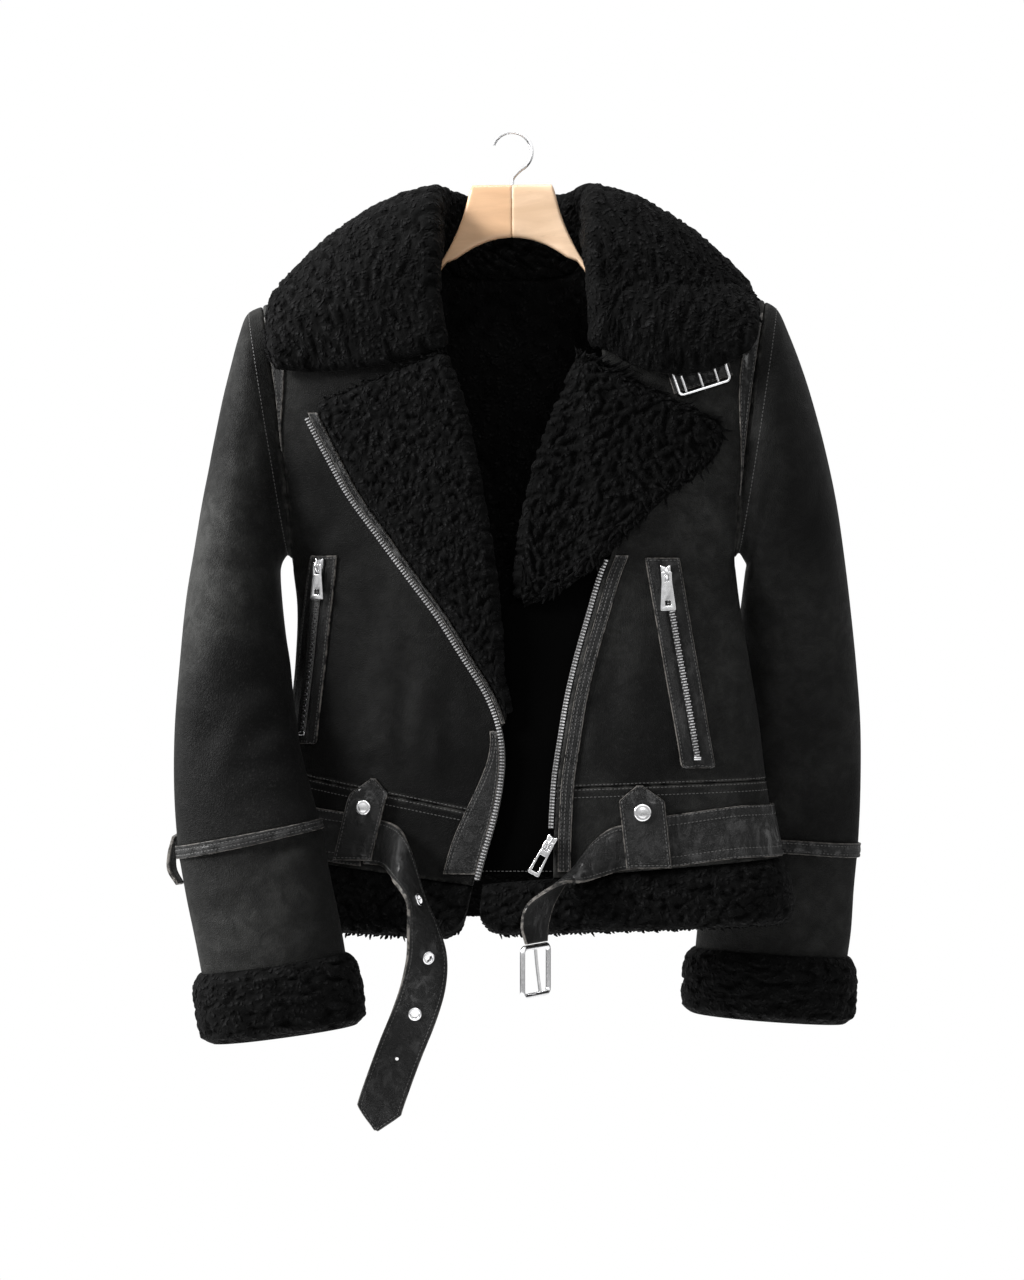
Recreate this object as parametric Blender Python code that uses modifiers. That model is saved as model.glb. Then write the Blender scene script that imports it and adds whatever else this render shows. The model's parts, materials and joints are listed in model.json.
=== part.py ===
"""Black shearling biker jacket on a light wooden hanger.

The jacket hangs open from the hanger's hook. +Z is up, the front faces -Y and +X is the
viewer's right. The origin is the inside top of the hook's bend, where a rail carries it.
All sizes are millimetres; MM turns them into Blender's metres where a mesh is made.
"""

import math
from collections import namedtuple

import bmesh
import bpy
import numpy as np
from mathutils import Matrix, Vector

MM = 0.001
OBJECT_NAME = "shearling_biker_jacket"

# ---------------------------------------------------------------- driving sizes
HIDE = 5.0              # sheared sheepskin, wool and skin together
SKIN = 1.8              # single leather: strips, welts and tabs
BELT = 3.0              # doubled belt leather
SEAM = 0.3              # space between two pieces that are sewn together
REST = 0.8              # space under a piece that lies on a curved panel
FUR = 11.0              # collar and lapel, skin and long wool together

TURN = 0.1              # the left side hangs further back than the right
NECK_X, NECK_Z = 68.0, -102.0       # where the shoulder seam meets the neck
TIP_X, TIP_Z = 216.0, -146.0        # end of the shoulder seam
SHOULDER_ROLL = 70.0                # drop over which the shoulder rounds to the front
NECK_ROUND = 25.0                   # softens the shoulder line's peak at the nape
RING_POWER = 2.5                    # a torso ring is a superellipse of this power
BACK_NECK_DROP = 36.0
UNDERARM_Z = -366.0

Ring = namedtuple("Ring", "z left right front back")
TORSO = [
    Ring(-60, 252, 252, 58, 52), Ring(-200, 250, 250, 60, 54), Ring(-260, 243, 243, 61, 55),
    Ring(-300, 227, 227, 62, 56), Ring(-335, 207, 207, 62, 56),
    Ring(-352, 199, 199, 62, 55), Ring(-366, 190, 190, 62, 55), Ring(-376, 189, 191, 62, 55),
    Ring(-401, 186, 194, 61, 54), Ring(-450, 187, 202, 60, 53), Ring(-500, 192, 210, 60, 52),
    Ring(-564, 200, 218, 60, 52), Ring(-624, 208, 229, 61, 53), Ring(-700, 213, 238, 62, 54),
]

Edge = namedtuple("Edge", "x z")
ARMHOLE = [
    Edge(216, -146), Edge(209, -180), Edge(203, -220), Edge(199, -255),
    Edge(194, -300), Edge(191, -335), Edge(190, -366),
]
# Left is the viewer's left. A roll line is where a lapel turns back.
ROLL_LEFT = [
    Edge(-68, -102), Edge(-59, -145), Edge(-50, -190), Edge(-36, -230), Edge(-24, -285),
    Edge(-13, -345), Edge(-5, -405), Edge(-1, -460), Edge(-3, -500), Edge(-12, -518),
    Edge(-10, -535), Edge(-11, -552), Edge(-17, -586), Edge(-27, -621), Edge(-33, -644),
    Edge(-40, -692),
]
ZIP_LEFT = [
    Edge(-179, -240), Edge(-160, -277), Edge(-141, -311), Edge(-116, -346), Edge(-91, -380),
    Edge(-66, -414), Edge(-44, -449), Edge(-23, -483), Edge(-13, -510), Edge(-10, -535),
    Edge(-11, -552), Edge(-17, -586), Edge(-27, -621), Edge(-33, -644),
]
ROLL_RIGHT = [
    Edge(68, -102), Edge(66, -150), Edge(61, -181), Edge(46, -205), Edge(35, -230),
    Edge(24, -256), Edge(15, -282), Edge(7, -315), Edge(0, -349), Edge(-3, -384),
    Edge(-4, -410), Edge(-8, -500), Edge(-28, -634),
]
LAPEL_EDGE_RIGHT = [
    Edge(172, -252), Edge(176, -268), Edge(162, -289), Edge(127, -317), Edge(93, -351),
    Edge(76, -368), Edge(50, -388), Edge(24, -401), Edge(10, -408),
]
ZIP_RIGHT = [
    Edge(68, -102), Edge(73, -125), Edge(75, -180), Edge(80, -250), Edge(86, -320), Edge(84, -361),
    Edge(77, -380), Edge(67, -414), Edge(57, -449), Edge(49, -483), Edge(43, -518),
    Edge(38, -552), Edge(36, -580), Edge(35, -604), Edge(35, -692),
]
Seam = namedtuple("Seam", "side centre")     # heights of a cross seam at side and centre
WAIST = {"left": Seam(-548, -584), "right": Seam(-554, -560), "back": Seam(-551, -551)}
HEM = {"left": Seam(-620, -643), "right": Seam(-620, -636), "back": Seam(-620, -620)}
FOOT = {"left": Seam(-682, -689), "right": Seam(-676, -683), "back": Seam(-677, -677)}

# Sleeve rings: outer and inner point in the front view, centre and half depth in y.
Tube = namedtuple("Tube", "outer_x outer_z inner_x inner_z middle half")
SLEEVE = {
    "left": [
        Tube(-229, -154, -194, -362, 19, 50), Tube(-236, -173, -198, -367, 18, 54),
        Tube(-243, -200, -200, -374, 16, 56), Tube(-250, -230, -200, -382, 13, 57),
        Tube(-258, -272, -199, -394, 9, 57), Tube(-266, -315, -197, -412, 4, 55),
        Tube(-273, -359, -194, -434, -2, 52), Tube(-279, -401, -190, -456, -11, 49),
        Tube(-283, -452, -186, -487, -25, 46), Tube(-286, -513, -179, -528, -43, 43),
        Tube(-285, -568, -169, -564, -55, 41), Tube(-281, -612, -162, -588, -63, 40),
        Tube(-279, -624, -159, -600, -64, 39), Tube(-273, -653, -153, -631, -72, 38),
        Tube(-265, -688, -144, -672, -79, 37), Tube(-258, -723, -138, -706, -82, 36),
        Tube(-250, -766, -132, -750, -84, 35),
    ],
    "right": [
        Tube(227, -154, 194, -361, -20, 50), Tube(236, -173, 198.5, -367, -18, 54),
        Tube(247, -200, 201, -372, -13, 56), Tube(257, -230, 200, -379, -9, 57),
        Tube(269, -273, 199, -389, -3, 57), Tube(279, -315, 198, -402, 8, 55),
        Tube(287, -362, 196, -424, 18, 52), Tube(293, -403, 194, -452, 28, 49),
        Tube(299, -452, 190, -487, 38, 46), Tube(304, -508, 184, -530, 47, 43),
        Tube(305, -564, 176, -572, 55, 41), Tube(303, -617, 170, -607, 59, 40),
        Tube(302, -629, 169, -622, 61, 39), Tube(300, -655, 166, -653, 65, 38),
        Tube(298, -690, 163, -687, 68, 37), Tube(294, -722, 161, -712, 69, 36),
        Tube(291, -766, 160, -756, 69, 35),
    ],
}
ELBOW = 11              # the upper sleeve ends at this ring of the table, counted from 0
AROUND = 24             # points round a sleeve
ARM_ROWS = 12           # rows of a panel beside the armhole

SUEDE, LEATHER, WOOL, SILVER, TAPE, PALE_WOOD, WARM_WOOD = (
    "suede_black", "leather_black", "wool_black", "metal_silver", "zip_tape_black",
    "wood_pale", "wood_warm",
)
Finish = namedtuple("Finish", "colour roughness metallic")
FINISHES = {
    SUEDE: Finish((0.020, 0.019, 0.020), 0.62, 0.0),
    LEATHER: Finish((0.012, 0.012, 0.012), 0.32, 0.0),
    WOOL: Finish((0.010, 0.010, 0.011), 0.85, 0.0),
    SILVER: Finish((0.62, 0.62, 0.63), 0.28, 1.0),
    TAPE: Finish((0.012, 0.012, 0.013), 0.8, 0.0),
    PALE_WOOD: Finish((0.87, 0.60, 0.38), 0.45, 0.0),
    WARM_WOOD: Finish((0.78, 0.48, 0.27), 0.45, 0.0),
}


# ---------------------------------------------------------------- small helpers
def smooth(at, knots, values):
    """Cubic through the knots, each knot's slope taken from its neighbours."""
    knots = np.asarray(knots, float)
    values = np.asarray(values, float)
    at = np.clip(at, knots[0], knots[-1])
    slopes = np.gradient(values, knots)
    i = np.clip(np.searchsorted(knots, at, side="right") - 1, 0, len(knots) - 2)
    h = knots[i + 1] - knots[i]
    t = (at - knots[i]) / h
    rise = values[i + 1] - values[i]
    bend = (1 - t) * (slopes[i] * h - rise) - t * (slopes[i + 1] * h - rise)
    return values[i] + t * rise + t * (1 - t) * bend


def column(table, name):
    return np.array([getattr(row, name) for row in table], float)


def edge_x(edges, z):
    """Where a named line stands at height z; its table runs downwards."""
    return smooth(-np.asarray(z, float), -column(edges, "z"), column(edges, "x"))


def step(value, low, high):
    """0 below low, 1 above high and a soft slope between."""
    t = np.clip((value - low) / (high - low), 0, 1)
    return t * t * (3 - 2 * t)


def shoulder_line(x):
    slope = (NECK_Z - TIP_Z) / (math.hypot(TIP_X, NECK_ROUND) - math.hypot(NECK_X, NECK_ROUND))
    return NECK_Z - slope * (np.hypot(x, NECK_ROUND) - math.hypot(NECK_X, NECK_ROUND))


def turned(x):
    """The body's middle surface."""
    return -TURN * x


# ---------------------------------------------------------------- the torso's form
def soft_folds(x, z, side):
    """Share by which shallow drape folds deepen the torso."""
    fall = step(-z, 230, 420)
    front = 0.035 * np.sin(x / 34 - z / 95 + 0.6 * np.sin(z / 60)) * fall
    blouse = 0.05 * np.exp(-((z + 520) / 24) ** 2)
    back = 0.03 * np.sin(x / 41 + z / 130) * step(-z, 160, 380)
    return np.where(side < 0, front, back) + blouse


def half_depth_squared(x, z, side):
    down = -column(TORSO, "z")
    width = np.where(
        x < 0, smooth(-z, down, column(TORSO, "left")), smooth(-z, down, column(TORSO, "right"))
    )
    depth = np.where(
        side < 0, smooth(-z, down, column(TORSO, "front")), smooth(-z, down, column(TORSO, "back"))
    )
    across = np.clip(1 - np.abs(x / width) ** RING_POWER, 0, None) ** (2 / RING_POWER)
    drop = np.clip((shoulder_line(x) - z) / SHOULDER_ROLL, 0, 1)
    return (depth * (1 + soft_folds(x, z, side))) ** 2 * across * (1 - (1 - drop) ** 2)


def body(x, z, side, out=0.0):
    """Points of the torso's outer face at x, z, moved out along its normals, and the normals."""
    x, z, side, out = np.broadcast_arrays(*(np.asarray(v, float) for v in (x, z, side, out)))
    y = turned(x) + side * (SEAM / 2 + np.sqrt(half_depth_squared(x, z, side)))

    def outside(dx, dy, dz):
        return (y + dy - turned(x + dx)) ** 2 - half_depth_squared(x + dx, z + dz, side)

    h = 0.05
    slope = np.stack(
        [
            outside(h, 0, 0) - outside(-h, 0, 0),
            outside(0, h, 0) - outside(0, -h, 0),
            outside(0, 0, h) - outside(0, 0, -h),
        ],
        axis=-1,
    )
    normal = slope / np.linalg.norm(slope, axis=-1, keepdims=True)
    return np.stack([x, y, z], axis=-1) + out[..., None] * normal, normal


def armhole_heights():
    angle = np.linspace(0, math.pi, ARM_ROWS + 1)
    return (TIP_Z + UNDERARM_Z) / 2 + (TIP_Z - UNDERARM_Z) / 2 * np.cos(angle)


def side_x(z, sign):
    """The side edge of a panel: the armhole's line, then the torso's widest line."""
    down = -column(TORSO, "z")
    widest = smooth(-z, down, column(TORSO, "left" if sign < 0 else "right"))
    return sign * np.where(z >= UNDERARM_Z, edge_x(ARMHOLE, z), widest)


# ---------------------------------------------------------------- meshes
def collection(name, hidden=False):
    made = bpy.data.collections.new(name)
    bpy.context.scene.collection.children.link(made)
    made.hide_render = hidden
    return made


def material(slot):
    made = bpy.data.materials.get(slot)
    if made is None:
        finish = FINISHES[slot]
        made = bpy.data.materials.new(slot)
        made.use_nodes = True
        shader = made.node_tree.nodes["Principled BSDF"]
        shader.inputs["Base Color"].default_value = (*finish.colour, 1)
        shader.inputs["Roughness"].default_value = finish.roughness
        shader.inputs["Metallic"].default_value = finish.metallic
    return made


def add_object(name, data, slot):
    made = bpy.data.objects.new(name, data)
    data.materials.append(material(slot))
    bpy.data.collections[OBJECT_NAME].objects.link(made)
    return made


def shell(name, outer, inner, slot, ring=False):
    """A wall lofted between two grids of points; ring joins the last column to the first."""
    rows, columns = outer.shape[:2]
    count = rows * columns
    index = np.arange(count).reshape(rows, columns)
    if ring:
        index = np.concatenate([index, index[:, :1]], axis=1)
    a, b, c, d = index[:-1, :-1], index[:-1, 1:], index[1:, 1:], index[1:, :-1]
    front = np.stack([a, b, c, d], axis=-1).reshape(-1, 4)
    faces = [front, front[:, ::-1] + count]
    loops = [index[0], index[-1][::-1]]
    if not ring:
        loops += [index[:, -1], index[::-1, 0]]
    for loop in loops:
        faces.append(np.stack([loop[1:], loop[:-1], loop[:-1] + count, loop[1:] + count], axis=-1))
    points = np.concatenate([outer.reshape(-1, 3), inner.reshape(-1, 3)]) * MM
    mesh = bpy.data.meshes.new(name)
    mesh.from_pydata(points.tolist(), [], np.concatenate(faces).tolist())
    work = bmesh.new()
    work.from_mesh(mesh)
    bmesh.ops.recalc_face_normals(work, faces=work.faces)
    work.to_mesh(mesh)
    work.free()
    return add_object(name, mesh, slot)


def ruled(inside, outside, spread):
    """Rows of points from one edge to the other, as x and z; inside and outside are (x, z).

    Rows run at a share of the way between the edges' drops below the shoulder line, so that a
    row that starts and ends on the shoulder seam stays on it.
    """
    (ax, az), (bx, bz) = inside, outside
    share = np.asarray(spread, float)[None, :]
    x = ax[:, None] * (1 - share) + bx[:, None] * share
    drop = (shoulder_line(ax) - az)[:, None] * (1 - share) + (shoulder_line(bx) - bz)[:, None] * share
    straight = az[:, None] * (1 - share) + bz[:, None] * share
    lower = step(-bz, 160, 366)[:, None]
    return x, (shoulder_line(x) - drop) * (1 - lower) + straight * lower


def on_body(name, x, z, side, low, high, slot):
    """A sheet over the torso between two distances from its outer face."""
    return shell(name, body(x, z, side, high)[0], body(x, z, side, low)[0], slot)


# ---------------------------------------------------------------- body panels
TO_SIDE = [0, 0.13, 0.29, 0.46, 0.62, 0.76, 0.87, 0.945, 0.985, 1]
GAP = SEAM / 2


def panel_heights(side_end, centre_end, centre_start):
    """Matching heights at the side and at the centre of a front, from the shoulder down."""
    arm = armhole_heights()
    share = (TIP_Z - arm) / (TIP_Z - UNDERARM_Z)
    below = np.linspace(0, 1, 6)[1:]
    side = np.concatenate([arm, UNDERARM_Z + below * (side_end - UNDERARM_Z)])
    centre = np.concatenate(
        [centre_start + share * (UNDERARM_Z - centre_start), UNDERARM_Z + below * (centre_end - UNDERARM_Z)]
    )
    return side, centre


def roll_inset(z, wanted):
    """How far a front's edge stays back from the roll line, to leave the turned fur its room."""
    return wanted * step(-z, 96, 150) * (1 - step(-z, 455, 512))


def centre_left(z):
    return edge_x(ROLL_LEFT, z) - roll_inset(z, FUR + SEAM) - 1.0


def build_front(side_name):
    sign, centre_of = (-1, centre_left) if side_name == "left" else (1, lambda z: edge_x(ZIP_RIGHT, z))
    seam = WAIST[side_name]
    side, centre = panel_heights(seam.side + GAP, seam.centre + GAP, NECK_Z)
    edge = centre_of(centre)
    centre[0] = shoulder_line(edge[0])
    x, z = ruled((edge, centre), (side_x(side, sign), side), TO_SIDE)
    on_body("front_" + side_name, x, z, -1, -HIDE, 0, SUEDE)


BACK_COLUMNS = [0, 0.16, 0.25, 0.315, 0.5, 0.67, 0.81, 0.91, 0.975, 1]


def build_back():
    share = np.array([-c for c in BACK_COLUMNS[:0:-1]] + BACK_COLUMNS)
    foot = WAIST["back"].side + GAP
    heights = panel_heights(foot, foot, NECK_Z)[0]
    x = np.where(share < 0, -side_x(heights, -1)[:, None] * share, side_x(heights, 1)[:, None] * share)
    neck = BACK_NECK_DROP * np.sqrt(np.clip(1 - (share * TIP_X / NECK_X) ** 2, 0, None))
    top = shoulder_line(share * TIP_X) - neck
    down = ((TIP_Z - heights) / (TIP_Z - foot))[:, None]
    on_body("back_panel", x, top * (1 - down) + foot * down, 1, -HIDE, 0, SUEDE)


def band_rows(top, foot, rows):
    share = np.linspace(0, 1, rows)
    side = top.side - GAP + share * (foot.side + GAP - top.side + GAP)
    centre = top.centre - GAP + share * (foot.centre + GAP - top.centre + GAP)
    return side, centre


def band_grid(where, top, foot, rows):
    side, centre = band_rows(top[where], foot[where], rows)
    if where == "back":
        share = np.array([-c for c in BACK_COLUMNS[:0:-1]] + BACK_COLUMNS)
        x = np.where(share < 0, -side_x(side, -1)[:, None] * share, side_x(side, 1)[:, None] * share)
        return x, np.repeat(side[:, None], len(share), axis=1)
    if where == "left":
        edge, spread = centre_left(centre), TO_SIDE
    else:
        edge, spread = edge_x(ZIP_RIGHT, centre), (TO_SIDE if top is WAIST else HEM_UNDER + TO_SIDE)
    return ruled((edge, centre), (side_x(side, -1 if where == "left" else 1), side), spread)


HEM_UNDER = [-0.31, -0.16]                  # the right hem runs on, under the left front
HEM_SWELL = [1.0, 6.5, 8.0, 7.5, 3.0]       # how far the hem's wool stands out, top to foot


def build_waistband_and_hem():
    for where in ("left", "right", "back"):
        facing = 1 if where == "back" else -1
        x, z = band_grid(where, WAIST, HEM, 4)
        on_body("waistband_" + where, x, z, facing, -HIDE, 0, SUEDE)
        x, z = band_grid(where, HEM, FOOT, len(HEM_SWELL))
        on_body("hem_fur_" + where, x, z, facing, -HIDE, np.array(HEM_SWELL)[:, None], WOOL)


UNDERLAP_SINK = 6.8     # how far the wind flap lies behind the torso's outer face
UNDERLAP_EDGE = -27.0
UNDERLAP_TUCK = 9.0     # how far it reaches behind the right front


def build_underlap():
    """The wind flap behind the zips, from the neck down; the right lapel hides its upper part."""
    z = np.concatenate([np.linspace(-197, -404, 8), np.linspace(-412, HEM["right"].centre + 3, 7)])
    left = np.where(z > -408, edge_x(ROLL_RIGHT, z) + roll_inset(z, FUR + SEAM), UNDERLAP_EDGE)
    right = edge_x(ZIP_RIGHT, z) + UNDERLAP_TUCK
    x, zz = ruled((left, z), (right, z), [0, 0.3, 0.6, 0.85, 1])
    on_body("underlap_right", x, zz, -1, -UNDERLAP_SINK - BELT, -UNDERLAP_SINK, LEATHER)


# ---------------------------------------------------------------- lapels
def lapel(name, rolled, outline, toward, sink, spread, thickness):
    """A fur lapel: columns wrap round the front's edge at the roll line, then lie on the front.

    rolled and outline are (x, z) of the fold and of the free edge; toward is the x direction
    of the jacket's opening. sink(x, z) is the base's distance from the torso's outer face.
    """
    x, z = ruled(rolled, outline, spread)
    low = sink(x, z)
    base, normal = body(x, z, -1, low)
    facing = np.array([toward, 0.0, 0.0])
    edge_base, edge_normal = body(x[:, :1], z[:, :1], -1, low[:, :1])
    columns, normals = [], []
    for inward, turn in ((HIDE - 1.0, 1.0), (1.6, 1.0), (0.3, 0.62)):
        tilt = turn * facing + (1 - turn) * edge_normal
        columns.append(edge_base - inward * edge_normal + 0.9 * turn * facing)
        normals.append(tilt / np.linalg.norm(tilt, axis=-1, keepdims=True))
    base = np.concatenate(columns + [base], axis=1)
    normal = np.concatenate(normals + [normal], axis=1)
    wall = np.asarray(thickness, float)[:, None, None]
    shell(name, base + wall * normal, base, WOOL)


STRIP_LEFT = 14.0       # leather border between the left lapel's fur and its zip


def build_lapel_left():
    count = 12
    share = np.linspace(0, 1, count)
    roll_z = -193 + share * (-497 + 193)
    edge_z = -234 + share * (-503 + 234)
    roll_x = centre_left(roll_z) + SEAM
    edge_at = edge_x(ZIP_LEFT, edge_z) + STRIP_LEFT * (1 - 0.35 * share) + 1
    wall = FUR - 5.5 * step(share, 0.72, 1)
    lapel("lapel_left", (roll_x, roll_z), (edge_at, edge_z), 1,
          lambda x, z: np.full_like(x, REST + 0.4), [0, 0.12, 0.3, 0.5, 0.7, 0.88, 1], wall)


def build_lapel_right():
    count = 11
    share = np.linspace(0, 1, count)
    roll_z = -196 + share * (-400 + 196)
    edge = np.array([smooth(share, np.linspace(0, 1, len(LAPEL_EDGE_RIGHT)), column(LAPEL_EDGE_RIGHT, k))
                     for k in ("x", "z")])
    roll_x = edge_x(ROLL_RIGHT, roll_z) + roll_inset(roll_z, FUR + SEAM)

    def sink(x, z):
        under = edge_x(ZIP_RIGHT, z)
        return -UNDERLAP_SINK + REST + 0.5 + UNDERLAP_SINK * step(x, under - 34, under - 12)

    lapel("lapel_right", (roll_x, roll_z), (edge[0], edge[1]), -1, sink,
          [0, 0.12, 0.3, 0.46, 0.6, 0.74, 0.88, 1], np.full(count, FUR))


# ---------------------------------------------------------------- collar
COLLAR_CLEAR = 3.6      # least space between the fall and the torso
BUCKLE_ROOM = 5.0       # more space over the throat buckle
# The collar's leather side: where its stand starts, its fold, and the edge of its fall.
Station = namedtuple("Station", "foot_x foot_y foot_z fold_x fold_y fold_z edge_x edge_y edge_z lift")
COLLAR = {
    "left": [
        Station(-60.5, -46, -190, -62, -57, -190, -201, -34, -205, -9),
        Station(-68.6, -40, -148, -69.6, -51, -144, -207, -32, -190, 8),
        Station(-68, -25, -114, -69.4, -40, -100, -208, -18, -166, 14),
        Station(-68, 6.5, -101, -69, -14, -62, -203, 0, -146, 17),
        Station(-65.5, 24, -103.5, -66, 16, -50, -180, 34, -130, 16),
        Station(-50, 42, -119, -50, 38, -54, -122, 62, -138, 12),
        Station(-26, 45.5, -122.6, -26, 46, -57, -58, 76, -152, 10),
    ],
    "right": [
        Station(73, -55, -190, 74, -66, -190, 200, -66, -192, -24),
        Station(72, -50, -148, 73, -62, -144, 207, -54, -178, 6),
        Station(69.4, -38, -114, 71, -52, -100, 207, -36, -156, 14),
        Station(67.0, -7, -101, 70, -26, -62, 200, -20, -140, 17),
        Station(65.5, 11, -103.5, 67, 6, -50, 180, 14, -128, 16),
        Station(50, 32.5, -119, 51, 30, -54, 122, 50, -136, 12),
        Station(26, 40.5, -122.6, 27, 42, -57, 58, 70, -152, 10),
    ],
}
NAPE = Station(0, 44, -122.6, 0, 46.5, -58, 0, 80, -157, 10)


def build_collar():
    """One folded sheet round the neck: stand, fold and a broad fall over the shoulders."""
    stations = COLLAR["left"] + [NAPE] + COLLAR["right"][::-1]
    knots = np.arange(len(stations), dtype=float)
    at = np.linspace(0, knots[-1], 27)
    foot, fold, edge = (
        np.stack([smooth(at, knots, column(stations, part + axis)) for axis in ("_x", "_y", "_z")], axis=-1)
        for part in ("foot", "fold", "edge")
    )
    lift = smooth(at, knots, column(stations, "lift"))[:, None]
    away = edge - fold
    flat = away / np.linalg.norm(away, axis=-1, keepdims=True)
    up = (fold - foot) / np.linalg.norm(fold - foot, axis=-1, keepdims=True)
    columns = [
        foot, foot + 0.5 * (fold - foot), fold - 2.0 * up, fold + 0.8 * flat + 0.5 * up, fold + 3.0 * flat,
    ]
    for share in (0.18, 0.38, 0.6, 0.8, 1.0):
        bulge = 4 * share * (1 - share) * lift
        raised = np.concatenate([np.zeros_like(lift), -0.45 * bulge, 0.9 * bulge], axis=-1)
        raised[:, 1] *= np.clip(1 - at / 4, 0, 1) + np.clip(1 - (knots[-1] - at) / 4, 0, 1)
        columns.append(fold + 3.0 * flat + share * (away - 3.0 * flat) + raised)
    base = np.stack(columns, axis=1)
    buckle_side = step(base[:, 3:, 0], 90, 125) * step(-base[:, 3:, 1], 30, 50)
    base[:, 3:] = clear_of_body(base[:, 3:], COLLAR_CLEAR + BUCKLE_ROOM * buckle_side)
    normal = -grid_normals(base)
    shell("collar", base + FUR * normal, base, WOOL)


def clear_of_body(points, space):
    """Points moved off the torso, forwards or backwards, where they would be within this space."""
    x, y, z = np.moveaxis(points, -1, 0)
    away = y - turned(x)
    side = np.where(away < 0, -1, 1)
    depth = np.sqrt(half_depth_squared(x, z, side))
    moved = points.copy()
    moved[..., 1] = turned(x) + side * np.maximum(np.abs(away), np.where(depth > 0, depth + space, 0))
    return moved


def grid_normals(points, ring=False):
    """Unit normals of a grid of points; ring joins the last column to the first."""
    if ring:
        across = np.roll(points, -1, axis=1) - np.roll(points, 1, axis=1)
    else:
        across = np.gradient(points, axis=1)
    along = np.gradient(points, axis=0)
    normal = np.cross(across, along)
    return normal / np.linalg.norm(normal, axis=-1, keepdims=True)


# ---------------------------------------------------------------- sleeves
def armhole_ring(sign):
    """The armhole's loop just off the torso, front half then back half, with its normals."""
    heights = armhole_heights()
    z = np.concatenate([heights, heights[-2:0:-1]])
    side = np.concatenate([-np.ones(ARM_ROWS + 1), np.ones(ARM_ROWS - 1)])
    points, normal = body(sign * edge_x(ARMHOLE, z), z, side)
    points[[0, ARM_ROWS], 1] = turned(points[[0, ARM_ROWS], 0])
    along = np.roll(points, -1, axis=0) - np.roll(points, 1, axis=0)
    away = np.cross(along, normal)
    away *= np.sign(away[ARM_ROWS // 2, 0]) * sign
    away /= np.linalg.norm(away, axis=-1, keepdims=True)
    return points + (SEAM + 0.5) * away, normal


def sleeve_rings(side_name):
    """Outer points of the sleeve, ring by ring, and its unit normals."""
    sign = -1 if side_name == "left" else 1
    first, first_normal = armhole_ring(sign)
    angle = np.linspace(0, 2 * math.pi, AROUND, endpoint=False)
    power = 0.92
    across = np.sign(np.cos(angle)) * np.abs(np.cos(angle)) ** power
    deep = np.sign(np.sin(angle)) * np.abs(np.sin(angle)) ** power
    rings = [first]
    for row in SLEEVE[side_name]:
        outer = np.array([row.outer_x, 0, row.outer_z], float)
        inner = np.array([row.inner_x, 0, row.inner_z], float)
        ring = (outer + inner) / 2 + across[:, None] * (outer - inner) / 2
        ring[:, 1] = row.middle - row.half * deep
        rings.append(ring)
    points = np.stack(rings)
    normal = grid_normals(points, ring=True) * sign
    normal[0] = first_normal
    return points, normal


def build_sleeve(side_name):
    points, normal = sleeve_rings(side_name)
    cut = ELBOW + 1
    upper = points[: cut + 1].copy()
    lower = points[cut:].copy()
    run = (points[cut + 1] - points[cut]).mean(axis=0)
    lower[0] += (SEAM + 0.1) * run / np.linalg.norm(run)
    shell(f"sleeve_{side_name}_upper", upper, upper - HIDE * normal[: cut + 1], SUEDE, ring=True)
    shell(f"sleeve_{side_name}_lower", lower, lower - HIDE * normal[cut:], SUEDE, ring=True)


def build_elbow_band(side_name):
    """A leather ring over the elbow seam."""
    points, normal = sleeve_rings(side_name)
    cut = ELBOW + 1
    above = points[cut] + (points[cut - 1] - points[cut]) * 0.12
    below = points[cut] + (points[cut + 1] - points[cut]) * 0.5
    base = np.stack([above, points[cut], below])
    out = np.stack([normal[cut], normal[cut], normal[cut + 1]])
    shell(f"elbow_band_{side_name}", base + (REST + SKIN) * out, base + REST * out, LEATHER, ring=True)


# Cuff rows: place along the sleeve in its last rings, and how far the wool stands out.
CUFF = [(-1.25, 1.0), (-1.0, 7.0), (-0.65, 9.0), (-0.3, 9.5), (0.0, 8.0), (0.14, 2.0)]


def build_cuff(side_name):
    """The turned-back wool cuff round the sleeve's end."""
    points, normal = sleeve_rings(side_name)
    outer, inner = [], []
    for place, swell in CUFF:
        low = -3 if place < -1 else -2
        share = place + 1 if low == -2 else place + 2
        base = points[low] + share * (points[low + 1] - points[low])
        out = normal[low] + share * (normal[low + 1] - normal[low])
        inner.append(base + REST * out)
        outer.append(base + (REST + 1.5 + swell) * out)
    shell(f"cuff_{side_name}", np.stack(outer), np.stack(inner), WOOL, ring=True)


# ---------------------------------------------------------------- hanger and hook
HANGER_THICK = 14.0
HANGER_SECTION = [(-1, 0.7), (-0.6, 1), (0.6, 1), (1, 0.7), (1, -0.75), (0.55, -1), (-0.55, -1), (-1, -0.75)]
Arm = namedtuple("Arm", "x top foot")
HANGER_HALF = [
    Arm(0, -44, -89), Arm(20, -44, -96.5), Arm(35.5, -44, -102.3), Arm(37, -52, -102.8),
    Arm(41, -68, -104.3), Arm(47, -84, -106.5), Arm(56, -102, -109.9), Arm(62, -112, -117.5),
    Arm(68, -112.5, -132.5), Arm(100, -120, -141), Arm(150, -134.5, -156), Arm(184, -145, -167),
    Arm(196, -149.5, -169.5),
]


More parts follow.
